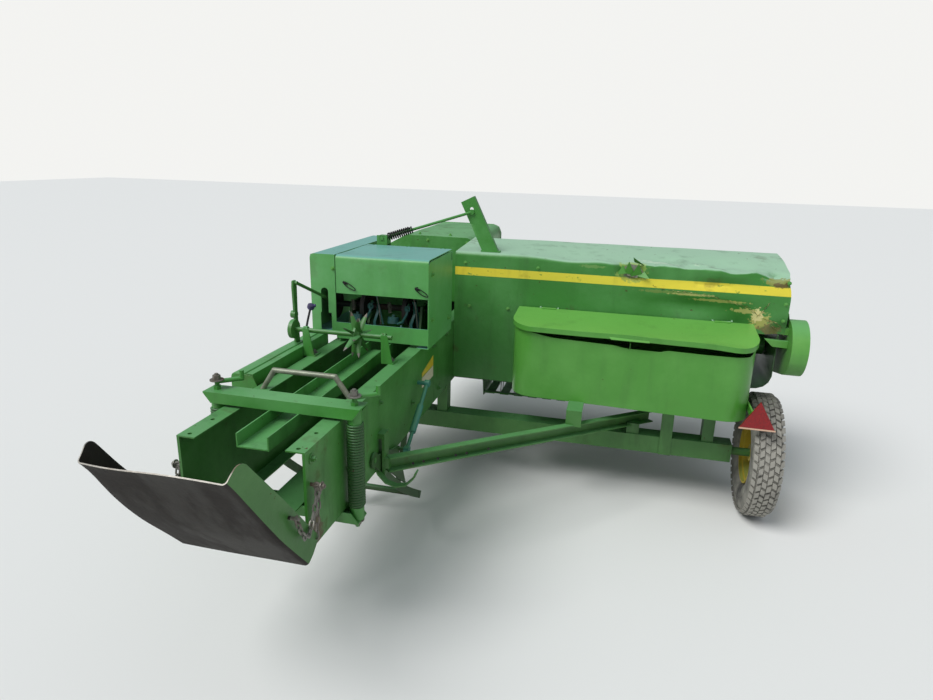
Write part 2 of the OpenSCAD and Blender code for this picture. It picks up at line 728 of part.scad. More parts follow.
module feeder_house() {
    color(green) {
        difference() {
            along_x(house_left, house_right) polygon(concat(
                [[house_y, pan_z + house_t]],
                arc([house_y + fold_r, house_top - fold_r], fold_r, 180, 96, 6),
                [[house_y + ridge_d, house_top + ridge_rise], [house_front - 140, house_top - 30],
                [house_front, house_top - 240], [house_front, house_top - 300],
                [house_front - house_t, house_top - 300], [house_front - house_t, house_top - 242],
                [house_front - 143, house_top - 33], [house_y + ridge_d - 2, house_top + ridge_rise - house_t]],
                arc([house_y + fold_r, house_top - fold_r], fold_r - house_t, 96, 180, 6),
                [[house_y + house_t, pan_z + house_t]]));
            // The rear wall's right part ends higher up
            block([pan_step_x - 20, house_y - cut, pan_z], [house_right + cut, house_y + house_t + cut, house_end_z]);
        }
        // Lugs and pins of the twine box's lid
        for (x = lid_hinge_xs) {
            x_cyl(x - 54, x + 54, lid_hinge_y, lid_hinge_z, lid_pin_r);
            for (s = [-1, 1]) {
                x_cyl(x + s * 50 - 4, x + s * 50 + 4, lid_hinge_y, lid_hinge_z, lid_hinge_r);
                block([x + s * 50 - 4, lid_hinge_y, lid_hinge_z - lid_hinge_r], [x + s * 50 + 4, house_y, lid_hinge_z + lid_hinge_r]);
            }
        }
        // Right end plate, open round the auger's drive
        along_x(house_right - house_t, house_right) polygon([[house_y + house_t, house_end_z], [house_y + house_t, house_top - 8],
            [house_y + ridge_d, house_top + ridge_rise - house_t], [house_front - 143, house_top - 33],
            [house_front - house_t, house_top - 242], [house_front - house_t, house_top - 300], [house_front - 200, house_end_z]]);
        // Left end plate above the chamber
        along_x(house_left, house_left + house_t) polygon([[house_y + house_t, rail_top_z], [house_y + house_t, house_top - 8],
            [house_y + ridge_d, house_top + ridge_rise - house_t], [house_front - 143, house_top - 33],
            [house_front - house_t, house_top - 242], [house_front - house_t, rail_top_z]]);
    }
}

pan_right = house_right - 30;
pan_step_x = 1898;
pan_step_z = 672;
pan_lip = 40;

// Outline of the pan across the machine, stepped up over the right wheel and rounded at its end
pan_outside = [[house_left, pan_z], [pan_step_x - 18, pan_z], [pan_step_x, pan_z + 18], [pan_step_x, pan_step_z - 8],
    [pan_step_x + 8, pan_step_z], [pan_right - 70, pan_step_z + 4], [pan_right - 35, pan_step_z + 18],
    [pan_right - 12, pan_step_z + 43], [pan_right, pan_step_z + 78], [pan_right, house_end_z]];
pan_inside = [[pan_right - house_t, house_end_z], [pan_right - house_t, pan_step_z + 79], [pan_right - 15, pan_step_z + 45],
    [pan_right - 37, pan_step_z + 22], [pan_right - 71, pan_step_z + 8], [pan_step_x + 6, pan_step_z + 4],
    [pan_step_x - 4, pan_step_z - 6], [pan_step_x - 4, pan_z + 20], [pan_step_x - 20, pan_z + house_t], [house_left, pan_z + house_t]];

module feeder_pan() {
    color(dark_green) difference() {
        union() {
            along_y(house_y, pan_front) polygon(concat(pan_outside, pan_inside));
            // Lip that leads the crop in from the pickup
            along_x(house_left, pan_step_x - 20) polygon([[pan_front - 8, pan_z], [pan_front, pan_z],
                [pan_front + pan_lip, pan_z + 26], [pan_front + pan_lip - 2, pan_z + 30], [pan_front - 2, pan_z + house_t],
                [pan_front - 8, pan_z + house_t]]);
            // Hangers and pins that carry the pickup
            for (x = [pickup_left - 38, pickup_right - 40])
                block([x, pickup_pivot_y - 25, pickup_pivot_z - 22], [x + 10, pickup_pivot_y + 25, pan_z]);
            x_cyl(pickup_left - 38, pickup_left - 10, pickup_pivot_y, pickup_pivot_z, pickup_pin_r);
            x_cyl(pickup_right - 40, pickup_right + 22, pickup_pivot_y, pickup_pivot_z, pickup_pin_r);
        }
        x_cyl(pan_right - house_t - cut, pan_right + cut, auger_y, auger_z, stub_r + run_gap);
    }
}

flight_turns = 3;
flight_steps = 20;
flight_t = 5;
flight_x0 = 760;
flight_x1 = 1880;
// The flight's inner corners stand so far out that its chords clear the tube
flight_foot_r = (auger_tube_r + run_gap) / cos(180 / flight_steps);

// The auger's flight, a ribbon of flat steps wound round the tube
module flight() {
    n = flight_turns * flight_steps;
    step = (flight_x1 - flight_x0) / n;
    ring = [for (i = [0 : n]) let (a = i * 360 / flight_steps, x = flight_x0 + i * step)
        [[x, flight_foot_r, a], [x, auger_flight_r, a], [x + flight_t, auger_flight_r, a], [x + flight_t, flight_foot_r, a]]];
    pts = [for (q = ring) for (p = q) [p[0], p[1] * cos(p[2]), p[1] * sin(p[2])]];
    faces = concat([[3, 2, 1, 0]], [[4 * n, 4 * n + 1, 4 * n + 2, 4 * n + 3]],
        [for (i = [0 : n - 1]) for (k = [0 : 3]) let (a = 4 * i + k, b = 4 * i + (k + 1) % 4)
            each [[a, b, a + 4], [b, b + 4, a + 4]]]);
    polyhedron(pts, faces);
}

module auger() {
    color(steel) translate([0, auger_y, auger_z]) {
        x_cyl(house_left + 60, pan_right - house_t - 5, 0, 0, auger_tube_r);
        x_cyl(pan_right - house_t - 6, shield_x + 20, 0, 0, stub_r);
        flight();
        // Feeder fingers that push the crop into the chamber
        for (a = [0, 90, 180, 270]) rotate([a, 0, 0])
            block([house_left + 110, -4, auger_tube_r - 6], [house_left + 400, 4, auger_flight_r - 20]);
    }
}

shield_r = 150;
shield_x = house_right + 20;
shield_t = 80;
shield_y = 1905;
shield_z = 915;
shield_peak = [[-65, 85], [45, 173], [100, 165], [175, 85]];

// Outline round both shield centres, in Y and Z
module shield_plan(r) {
    slope = atan2(auger_z - shield_z, auger_y - shield_y);
    polygon(concat(arc([auger_y, auger_z], r, slope - 90, slope + 90, 16),
        arc([shield_y, shield_z], r, slope + 90, slope + 270, 16)));
}

module drive_shield() {
    color(green) difference() {
        union() {
            along_x(shield_x - house_t, shield_x + shield_t) shield_plan(shield_r);
            // Raised part of the flat side
            along_x(shield_x - house_t, shield_x) polygon([for (q = shield_peak) q + [shield_y, shield_z]]);
            block([house_right, shield_y - 20, house_end_z + 4],
                [shield_x - house_t / 2, shield_y + 60, house_end_z + 40]);
        }
        x_cyl(shield_x - house_t - cut, shield_x + cut, auger_y, auger_z, stub_r + run_gap);
        along_x(shield_x, shield_x + shield_t - house_t) shield_plan(shield_r - house_t);
    }
}

// Twine box on the feeder house's rear face, and its lid

box_rear = house_y - box_d;
lid_t = 16;
lid_z = box_z + box_h + seat_gap - lid_t + box_t;
lid_gap = 5;
lid_hinge_y = house_y - 12;
lid_hinge_r = 6;
lid_pin_r = 3;
lid_hinge_z = lid_z + lid_t + lid_hinge_r;
lid_hinge_xs = [box_left + 160, box_left + box_len - 160];

// Plan of the twine box, with rounded rear corners
module box_plan(grow) {
    offset_x = box_left - grow;
    r = box_r + grow;
    polygon(concat([[offset_x, house_y - (grow > 0 ? 16 : 0) + min(grow, 0)]],
        arc([offset_x + r, box_rear - grow + r], r, 180, 270, 12),
        arc([box_left + box_len + grow - r, box_rear - grow + r], r, 270, 360, 12),
        [[box_left + box_len + grow, house_y - (grow > 0 ? 16 : 0) + min(grow, 0)]]));
}

module twine_box() {
    color(green) {
        difference() {
            translate([0, 0, box_z]) linear_extrude(box_h) box_plan(0);
            translate([0, 0, box_z + box_t]) linear_extrude(box_h) box_plan(-box_t);
        }
        // Bracket that carries the reflector
        block([box_left + box_len, reflector_y + 8, reflector_z + 50], [box_left + box_len + 8, house_y - 120, reflector_z + 90]);
        block([reflector_x - 30, reflector_y + 8, reflector_z + 40], [reflector_x + 30, reflector_y + 14, reflector_z + 100]);
        // Divider between the two rows of balls
        block([box_left + box_len / 2 - 2, box_rear + box_t, box_z], [box_left + box_len / 2 + 2, house_y - box_t, box_z + box_h - 40]);
    }
}

module twine_lid() {
    color(green) {
        difference() {
            translate([0, 0, lid_z]) linear_extrude(lid_t) box_plan(lid_gap + box_t);
            translate([0, 0, lid_z - cut]) linear_extrude(lid_t - box_t + cut) box_plan(lid_gap);
        }
        for (x = lid_hinge_xs) difference() {
            union() {
                x_cyl(x - 40, x + 40, lid_hinge_y, lid_hinge_z, lid_hinge_r);
                block([x - 40, lid_hinge_y - 20, lid_z + lid_t - 2], [x + 40, lid_hinge_y, lid_hinge_z]);
            }
            x_cyl(x - 41, x + 41, lid_hinge_y, lid_hinge_z, lid_pin_r + run_gap);
        }
    }
}

// Axle, brace and posts

beam_left = -300;
beam_right = wheel_right_x - tyre_w / 2 - 60;
beam_low = axle_z - beam_s / 2;

module axle_beam() {
    color(dark_green) {
        difference() {
            block([beam_left, axle_y - beam_s / 2, beam_low], [beam_right, axle_y + beam_s / 2, beam_low + beam_s]);
            block([beam_left + beam_t, axle_y - beam_s / 2 + beam_t, beam_low + beam_t],
                [beam_right - beam_t, axle_y + beam_s / 2 - beam_t, beam_low + beam_s - beam_t]);
        }
        // Stub axles
        x_cyl(beam_right - beam_t, wheel_right_x + 40, axle_y, axle_z, stub_r);
        x_cyl(-wheel_left_x - 40, beam_left + beam_t, axle_y, axle_z, stub_r);
        // Uprights that carry the chamber
        for (x = [-wall_x, wall_x - 60])
            block([x, axle_y - 40, beam_low + beam_s], [x + 60, axle_y + 40, chamber_z]);
        // Upright that carries the feeder house at the right
        block([beam_right - 160, axle_y - 40, beam_low + beam_s], [beam_right - 100, axle_y + 40, pan_z - 10]);
        block([beam_right - 160, axle_y - 40, pan_z - 10], [beam_right - 100, house_y + 120, pan_z]);
    }
}

brace_plate_x = wall_x + 18;
brace_plate_t = 12;
brace_x0 = brace_plate_x + brace_plate_t + 8;
brace_y0 = 650;
brace_x1 = 1420;
brace_y1 = axle_y + beam_s / 2 + 51;
brace_z0 = 538;
brace_z1 = 415;
brace_h = 66;
brace_top = 714;
brace_w = 40;
inner_post_x = 1000;
outer_post_x = 1502;
brace_foot_x = 1322;
post_t = 8;

module frame_brace() {
    color(green) {
        // Upright bar beside the chamber's right wall, held above the yoke's swing
        block([brace_plate_x, brace_y0 - 14, brace_z0 - 18], [brace_plate_x + brace_plate_t, brace_y0 + 42, brace_top]);
        block([wall_x, brace_y0 - 14, brace_top - 24], [brace_plate_x, brace_y0 + 42, brace_top]);
        // Diagonal channel from the plate down to the axle beam
        p = [brace_x0, brace_y0, brace_z0 + brace_h / 2];
        q = [brace_x1, brace_y1, brace_z1 + brace_h / 2];
        run = norm([q[0] - p[0], q[1] - p[1]]);
        turn = atan2(q[1] - p[1], q[0] - p[0]);
        drop = atan2(q[2] - p[2], run);
        translate(p) rotate([0, 0, turn]) rotate([0, -drop, 0])
            translate([0, -brace_w / 2, -brace_h / 2]) difference() {
                cube([norm(q - p), brace_w, brace_h]);
                translate([-cut, -cut, 6]) cube([norm(q - p) + 2 * cut, brace_w - 6 + cut, brace_h - 12]);
            }
        block([brace_plate_x + brace_plate_t, brace_y0 - 12, brace_z0 + 14], [brace_x0 + 10, brace_y0 + 10, brace_z0 + brace_h - 2]);
        // Foot of the brace on the axle beam
        block([brace_foot_x - 34, axle_y - beam_s / 2 + 8, beam_low + beam_s],
            [brace_foot_x + 34, axle_y + beam_s / 2 - 8, beam_low + beam_s + 60]);
        // Posts under the twine box, the inner one on the brace
        t = (inner_post_x - brace_x0) / (brace_x1 - brace_x0);
        inner_post_y = brace_y0 + t * (brace_y1 - brace_y0);
        block([inner_post_x - 30, inner_post_y - 12, brace_z0 + t * (brace_z1 - brace_z0) + brace_h - 8],
            [inner_post_x + 50, inner_post_y + 12, box_z]);
        block([inner_post_x - 30, inner_post_y - 12, box_z - post_t], [inner_post_x + 50, box_rear + 100, box_z]);
        block([outer_post_x - 32, axle_y - beam_s / 2 - post_t, beam_low], [outer_post_x + 32, axle_y - beam_s / 2, box_z]);
    }
}

// Wheels: tyre and rim about their own axis along X

module tyre(x) {
    r0 = rim_d / 2;
    r1 = tyre_d / 2;
    w = tyre_w / 2;
    color(black) translate([x, axle_y, axle_z]) rotate([0, 90, 0]) rotate_extrude($fn = 96)
        polygon(concat([[r0, -w + 26], [r0, w - 26], [r0 + 5, w - 26], [r0 + 10, w - 18]],
            arc([r0 + (r1 - r0) * 0.5, w - 40], 40, 120, 62, 4),
            arc([r1 - 20, w - 30], 20, 62, 12, 4),
            [[r1, 0]],
            arc([r1 - 20, -w + 30], 20, -12, -62, 4),
            arc([r0 + (r1 - r0) * 0.5, -w + 40], 40, -62, -120, 4),
            [[r0 + 10, -w + 18], [r0 + 5, -w + 26]]));
}

module rim(x, out) {
    r0 = rim_d / 2;
    w = tyre_w / 2 - 26;
    color(yellow) translate([x, axle_y, axle_z]) rotate([0, 90, 0]) {
        difference() {
            union() {
                // Rim ring
                rotate_extrude($fn = 96) polygon([[r0 - 6, -w - 8], [r0 + 4, -w - 8], [r0 + 4, -w], [r0, -w], [r0, w],
                    [r0 + 4, w], [r0 + 4, w + 8], [r0 - 6, w + 8], [r0 - 6, w - 8], [r0 - 18, w - 14],
                    [r0 - 18, -w + 14], [r0 - 6, -w + 8]]);
                // Disc and hub
                translate([0, 0, out * 10 - 4]) cylinder(h = 8, r = r0 - 12);
                translate([0, 0, -34]) cylinder(h = 68, r = 46);
            }
            translate([0, 0, -w - 60]) cylinder(h = 2 * w + 120, r = stub_r + run_gap);
            for (a = [0 : 72 : 288]) rotate(a) translate([100, 0, out * 10 - 5]) cylinder(h = 10, r = 9);
        }
    }
}

module tyre_right() { tyre(wheel_right_x); }
module rim_right() { rim(wheel_right_x, 1); }
module tyre_left() { tyre(-wheel_left_x); }
module rim_left() { rim(-wheel_left_x, -1); }

// Needle yoke under the chamber, and the link that lifts it

yoke_y = 571;
yoke_z = 621;
yoke_pin_r = 12;
yoke_t = 8;
yoke_x = wall_x + 5;
arm_w = 40;
arm_bulge = 30;
needle_r = 800;
needle_a0 = -38.5;
needle_a1 = -7;
needle_d = 24;
needle_w = 28;
horn_r = 310;
horn_a = -15.3;
link_x = brace_plate_x + brace_plate_t + 20;

// Point at radius r and angle a about the yoke's pivot
function yoke_point(r, a) = [yoke_y + r * cos(a), yoke_z + r * sin(a)];

// Curved strap of one arm from the pivot out to the cross tube
module yoke_arm() {
    steps = 10;
    mid = [for (i = [0 : steps]) [needle_r * i / steps, -arm_bulge * sin(180 * i / steps)]];
    difference() {
        union() {
            circle(34);
            rotate(needle_a0) polygon(concat([for (m = mid) m + [0, arm_w / 2]],
                [for (i = [steps : -1 : 0]) mid[i] - [0, arm_w / 2]]));
        }
        circle(yoke_pin_r + run_gap);
    }
}

module needle_yoke() {
    color(green) {
        for (x = [-yoke_x - yoke_t, yoke_x])
            translate([0, yoke_y, yoke_z]) along_x(x, x + yoke_t) yoke_arm();
        // Horn on the right arm that the lift link pulls
        p = [horn_r * cos(horn_a), horn_r * sin(horn_a)];
        translate([0, yoke_y, yoke_z]) along_x(yoke_x, yoke_x + yoke_t) difference() {
            polygon([[30, 10], p + [0, 14], p + [14, 0], p + [0, -14],
                [500 * cos(needle_a0), 500 * sin(needle_a0)], [200 * cos(needle_a0), 200 * sin(needle_a0)], [30, -20]]);
            polygon([[130, -50], p + [-40, -10], [330 * cos(needle_a0 + 4), 330 * sin(needle_a0 + 4)],
                [190 * cos(needle_a0 + 8), 190 * sin(needle_a0 + 8)]]);
            circle(yoke_pin_r + run_gap);
        }
        x_cyl(yoke_x, link_x - 14, yoke_y + p[0], yoke_z + p[1], 9);
        // Cross tube and needles
        q = yoke_point(needle_r - 14, needle_a0);
        x_cyl(-yoke_x, yoke_x, q[0], q[1], 16);
        for (x = knot_xs) translate([0, yoke_y, yoke_z]) along_x(x - needle_d / 2, x + needle_d / 2)
            polygon(concat(arc([0, 0], needle_r + needle_w / 2, needle_a0, needle_a1 - 3, 12),
                [[needle_r * cos(needle_a1), needle_r * sin(needle_a1)]],
                arc([0, 0], needle_r - needle_w / 2, needle_a1 - 3, needle_a0, 12)));
    }
}

module needle_link() {
    p = [link_x, 1184, 759];
    foot = yoke_point(horn_r, horn_a);
    q = [link_x, foot[0], foot[1]];
    color(steel) {
        rod(p, q, 9);
        rod(p + 0.35 * (q - p), p + 0.75 * (q - p), 16);
        x_cyl(link_x - 12, link_x + 12, q[1], q[2], 18);
        x_cyl(link_x - 12, link_x + 12, p[1], p[2], 18);
    }
    // Crank on the chamber wall that pulls the link
    color(green) x_cyl(wall_x, link_x + 12, p[1], p[2], 11);
}

// Pickup: frame, stripper bands and tined reel

pickup_left = 300;
pickup_right = 1900;
pickup_plate_t = 6;
pickup_pivot_y = 2450;
pickup_pivot_z = 512;
pivot_boss = 28;
pickup_pin_r = 16;
band_pitch = (pickup_right - pickup_left - band_w) / (band_count - 1);
reel_shaft_r = 20;
reel_disc_r = 152;
tine_bar_r = 13;
tine_bar_at = 130;
tine_wire = 3.5;
band_t = 4;
carrier_at = -206;

module pickup_frame() {
    color(green) {
        for (x = [pickup_left - 12 - pickup_plate_t, pickup_right + 12]) difference() {
            along_x(x, x + pickup_plate_t) polygon(concat(
                arc([reel_y, reel_z], band_r + 24, -90, 90, 14),
                [[reel_y - 210, reel_z + band_r + 24], [reel_y - 214, pickup_pivot_z + 40],
                [pickup_pivot_y + 50, pickup_pivot_z + pivot_boss], [pickup_pivot_y - pivot_boss, pickup_pivot_z + pivot_boss],
                [pickup_pivot_y - pivot_boss, pickup_pivot_z - pivot_boss], [reel_y - 240, reel_z - 100], [reel_y - 215, reel_z - band_r - 12], [reel_y - 90, reel_z - band_r - 24]]));
            x_cyl(x - cut, x + pickup_plate_t + cut, reel_y, reel_z, reel_shaft_r + run_gap);
            x_cyl(x - cut, x + pickup_plate_t + cut, pickup_pivot_y, pickup_pivot_z, pickup_pin_r + run_gap);
        }
        // Cross tube behind the reel
        x_cyl(pickup_left - 12, pickup_right + 12, reel_y - 232, reel_z + 60, 30);
        // Arm and stub of the gauge wheel
        along_x(pickup_right + 12 + pickup_plate_t, pickup_right + 20 + pickup_plate_t) polygon([[reel_y - 60, reel_z - 100],
            [gauge_y + 20, gauge_z - 20], [gauge_y + 20, gauge_z + 20], [reel_y + 60, reel_z + 10]]);
        x_cyl(pickup_right + 12, gauge_x + 44, gauge_y, gauge_z, gauge_pin_r);
    }
}

module pickup_bands() {
    color(steel) {
        for (i = [0 : band_count - 1]) translate([pickup_left + i * band_pitch, 0, 0]) {
            translate([0, reel_y, reel_z]) rotate([90, 0, 90]) rotate(-90)
                rotate_extrude(angle = 180) translate([band_r - band_t, 0]) square([band_t, band_w]);
            for (z = [band_r - band_t, -band_r])
                block([0, reel_y + carrier_at, reel_z + z], [band_w, reel_y, reel_z + z + band_t]);
        }
        // Carriers that join the bands at their upper and lower ends
        for (z = [band_r - band_t - 8, -band_r + band_t])
            block([pickup_left - 12, reel_y + carrier_at, reel_z + z], [pickup_right + 12, reel_y + carrier_at + 28, reel_z + z + 8]);
    }
}

module pickup_reel() {
    color(steel) translate([0, reel_y, reel_z]) {
        x_cyl(pickup_left - 34, pickup_right + 24, 0, 0, reel_shaft_r);
        for (x = [pickup_left + 6, (pickup_left + pickup_right) / 2 - 4, pickup_right - 14])
            x_cyl(x, x + 8, 0, 0, reel_disc_r);
        for (b = [0 : 3]) rotate([b * 90, 0, 0]) {
            x_cyl(pickup_left + 6, pickup_right - 6, 0, tine_bar_at, tine_bar_r);
            for (i = [0 : band_count - 2]) for (s = [-1, 1])
                translate([pickup_left + band_w + (band_pitch - band_w) / 2 + i * band_pitch + s * 8, 0, tine_bar_at])
                    rotate([-8, 0, 0]) cylinder(h = tine_r - tine_bar_at, r = tine_wire, $fn = 6);
        }
    }
}

gauge_x = pickup_right + 75;
gauge_pin_r = 13;
gauge_y = 2920;
gauge_r = 150;
gauge_z = 290;

module gauge_wheel() {
    color(black) translate([gauge_x - 35, gauge_y, gauge_z]) rotate([0, 90, 0]) rotate_extrude($fn = 64)
        polygon(concat([[gauge_pin_r + run_gap, 0], [60, 0], [70, 6], [gauge_r - 12, 4]], [[gauge_r, 16], [gauge_r, 54], [gauge_r - 12, 66]],
            [[70, 64], [60, 70], [gauge_pin_r + run_gap, 70]]));
}

// Covers, lever and drive at the front

cover_low = rail_top_z;
shroud_rear = 2350;
shroud_front = 3250;
shroud_top = 1345;
shroud_left = -338;
shroud_slant_x = -222;

// Section of the drive cover across the machine, in by a distance
module cover_section(inset) {
    polygon(concat([[-wall_x + inset, cover_low - (inset > 0 ? cut : 0)], [wall_x - inset, cover_low - (inset > 0 ? cut : 0)]],
        arc([wall_x - 60, shroud_top - 60], 60 - inset, 0, 90, 6),
        [[shroud_slant_x, shroud_top - inset], [shroud_left + 1.2 * inset, shroud_top - 63 - inset / 2],
        [shroud_left + inset, shroud_top - 180], [-wall_x + inset, shroud_top - 260]]));
}

module drive_cover() {
    color(green) difference() {
        along_y(shroud_rear, shroud_front) cover_section(0);
        along_y(shroud_rear + cover_t, shroud_front + cut) cover_section(cover_t);
        block([-wall_x - cut, case_len + plate_t, cover_low - cut], [wall_x + cut, shroud_front + cut, cover_low + 40]);
    }
}

lever_base = [436, 1935, house_top + 2];
lever_tip = [294, 1950, 1616];
lever_w = 84;
lever_d = 34;

// Height of the feeder house's top sheet at a distance y along the machine
function house_z(y) = let (a = [house_y + fold_r + fold_r * cos(96), house_top - fold_r + fold_r * sin(96)],
    b = [house_y + ridge_d, house_top + ridge_rise]) a[1] + (y - a[0]) * (b[1] - a[1]) / (b[0] - a[0]);

module lift_lever() {
    y0 = lever_base[1] - lever_d / 2;
    y1 = lever_base[1] + lever_d / 2;
    lean = atan2(lever_base[0] - lever_tip[0], lever_tip[2] - lever_base[2]);
    len = norm(lever_tip - lever_base);
    color(green) {
        difference() {
            translate(lever_base) rotate([0, -lean, 0]) translate([-lever_w / 2, -lever_d / 2, -40]) difference() {
                cube([lever_w, lever_d, len + 40]);
                translate([6, 6, -cut]) cube([lever_w - 12, lever_d, len + 42]);
                translate([lever_w / 2, -cut, len - 20]) rotate([-90, 0, 0]) cylinder(h = 8, r = 11);
            }
            along_x(lever_base[0] - 200, lever_base[0] + 200) polygon([[y0 - 20, house_z(y0 - 20)], [y1 + 20, house_z(y1 + 20)],
                [y1 + 20, house_z(y1 + 20) - 100], [y0 - 20, house_z(y0 - 20) - 100]]);
        }
        // Foot that follows the sheet's slope
        along_x(lever_base[0] - lever_w / 2 - 14, lever_base[0] + lever_w / 2 + 14)
            polygon([[y0, house_z(y0)], [y1, house_z(y1)], [y1, house_z(y1) + 7], [y0, house_z(y0) + 7]]);
    }
}

rod_foot = [-131, 1704, 1400];
rod_head = [322, lever_base[1] - lever_d / 2 - 8, 1546];

module spring_rod() {
    color(green) {
        rod(rod_foot, rod_head, 8);
        y_cyl(rod_head[1] - 8, rod_head[1] + 8, rod_head[0], rod_head[2], 15);
        // Ear and plate on the cover's front wall
        block([rod_foot[0] - 18, cover_end + 20 + cover_t, rod_foot[2] - 18], rod_foot + [18, 12, 18]);
        block([rod_foot[0] - 30, cover_end + 20 + cover_t, rod_foot[2] - 130], [rod_foot[0] + 30, cover_end + 26 + cover_t, rod_foot[2] + 18]);
    }
    color(steel) {
        d = unit(rod_head - rod_foot);
        from_to(rod_foot + 30 * d, rod_head) coil_body(130, 24, 14);
        // Collars at both ends of the spring
        for (t = [24, 160]) from_to(rod_foot + t * d, rod_head) cylinder(h = 6, r = 20);
    }
}

plunger_len = 260;
plunger_y = case_len - 290 - plunger_len;

module plunger() {
    color(steel) {
        block([-bale_w / 2 + 6, plunger_y, floor_z + 6], [bale_w / 2 - 6, plunger_y + plunger_len, floor_z + bale_h - 6]);
        for (z = [floor_z, floor_z + bale_h - 6])
            block([-bale_w / 2 + 30, plunger_y + 20, z], [bale_w / 2 - 30, plunger_y + plunger_len - 20, z + 6]);
    }
}

drive_z = 775;
gearbox_y = case_len + plate_t;
gearbox_len = 230;

module gearbox() {
    color(green) {
        difference() {
            union() {
                block([-150, gearbox_y, drive_z - 130], [150, gearbox_y + gearbox_len - 40, drive_z + 130]);
                y_cyl(gearbox_y + gearbox_len - 60, gearbox_y + gearbox_len, 0, drive_z, 80);
            }
            y_cyl(gearbox_y + 60, gearbox_y + gearbox_len + cut, 0, drive_z, 25 + run_gap);
        }
    }
}

flywheel_y = gearbox_y + gearbox_len + 20;
input_len = 120;

module flywheel() {
    color(green) {
        difference() {
            y_cyl(flywheel_y, flywheel_y + flywheel_t, 0, drive_z, flywheel_r);
            y_cyl(flywheel_y + 14, flywheel_y + flywheel_t + cut, 0, drive_z, flywheel_r - 50);
        }
        y_cyl(flywheel_y, flywheel_y + flywheel_t + 20, 0, drive_z, 60);
    }
    color(steel) {
        y_cyl(gearbox_y + 64, flywheel_y + 1, 0, drive_z, 25);
        y_cyl(flywheel_y + flywheel_t + 19, flywheel_y + flywheel_t + 20 + input_len, 0, drive_z, input_r);
    }
}

tongue_y = case_len - 90;
tongue_pin_r = 20;
tongue_low = chamber_z - 40 - tongue_s;
hitch_gap = 50;
hitch_plate_t = 16;
hitch_end = 40;

module tongue() {
    mid = tongue_low + tongue_s / 2;
    color(green) difference() {
        union() {
            block([tongue_x - tongue_s / 2, tongue_y, tongue_low], [tongue_x + tongue_s / 2, tongue_y + tongue_len - 90, tongue_low + tongue_s]);
            translate([tongue_x, tongue_y, tongue_low]) cylinder(h = tongue_s, r = tongue_s / 2 + 8);
            // Clevis plates
            for (z = [mid - hitch_gap / 2 - hitch_plate_t, mid + hitch_gap / 2])
                block([tongue_x - 40, tongue_y + tongue_len - 130, z], [tongue_x + 40, tongue_y + tongue_len + hitch_end, z + hitch_plate_t]);
            // Collar that carries the jack
            translate([tongue_x + tongue_s / 2 + jack_r + 8, tongue_y + jack_d, tongue_low - 10]) cylinder(h = tongue_s + 20, r = jack_r + 8);
            block([tongue_x, tongue_y + jack_d - 30, tongue_low], [tongue_x + tongue_s / 2 + 20, tongue_y + jack_d + 30, tongue_low + tongue_s]);
        }
        translate([tongue_x, tongue_y, tongue_low - cut]) cylinder(h = tongue_s + 2 * cut, r = tongue_pin_r + run_gap);
        translate([tongue_x, tongue_y + tongue_len, tongue_low - 20]) cylinder(h = tongue_s + 40, r = hitch_r);
        translate([tongue_x + tongue_s / 2 + jack_r + 8, tongue_y + jack_d, tongue_low - 10 - cut]) cylinder(h = tongue_s + 20 + 2 * cut, r = jack_r + run_gap);
    }
}

jack_r = 28;
jack_foot_r = 75;

module jack_leg() {
    color(steel) translate([tongue_x + tongue_s / 2 + jack_r + 8, tongue_y + jack_d, 0]) {
        cylinder(h = 12, r = jack_foot_r);
        cylinder(h = tongue_low + tongue_s + 120, r = jack_r);
    }
}

// Rear reflector

reflector_side = 172;
reflector_x = box_left + box_len + 16;
reflector_y = box_rear - 75;
reflector_z = box_z - 22;

module reflector() {
    h = reflector_side * sqrt(3) / 2;
    color(red) along_y(reflector_y, reflector_y + 8)
        translate([reflector_x, reflector_z]) polygon([[-reflector_side / 2, 0], [reflector_side / 2, 0], [0, h]]);
}

// Overall limits, from which the bottom centre follows
chute_tip = chute_len * cos(chute_angle) + chute_drop * sin(chute_angle);
rear_limit = chute_pin_y - chute_tip;
front_limit = tongue_y + tongue_len + hitch_end;
left_limit = -wheel_left_x - tyre_w / 2;
right_limit = shield_x + shield_t;

module placed() {
    translate([-(left_limit + right_limit) / 2, -(rear_limit + front_limit) / 2, 0]) children();
}

placed() bale_case();
placed() tension_rail();
placed() crossbars();
placed() tension_springs();
placed() tension_cranks();
placed() hand_rail();
placed() side_shelf();
placed() bale_chute();
placed() chute_chains();
placed() knotter_cover();
placed() knotter_hood();
placed() knotter_frame();
placed() knotter_gears();
placed() meter_brackets();
placed() star_wheel();
placed() trip_arm();
placed() feeder_house();
placed() feeder_pan();
placed() auger();
placed() drive_shield();
placed() twine_box();
placed() twine_lid();
placed() axle_beam();
placed() frame_brace();
placed() tyre_right();
placed() rim_right();
placed() tyre_left();
placed() rim_left();
placed() needle_yoke();
placed() needle_link();
placed() pickup_frame();
placed() pickup_bands();
placed() pickup_reel();
placed() gauge_wheel();
placed() drive_cover();
placed() lift_lever();
placed() spring_rod();
placed() plunger();
placed() gearbox();
placed() flywheel();
placed() tongue();
placed() jack_leg();
placed() reflector();
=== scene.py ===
"""Looks of a square baler: dented sheet metal, faded paint, rust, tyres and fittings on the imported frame."""

from __future__ import annotations

import logging
import math
from collections.abc import Callable, Iterable, Sequence
from dataclasses import dataclass
from enum import Enum

import bmesh
import bpy
from mathutils import Matrix, Vector, noise


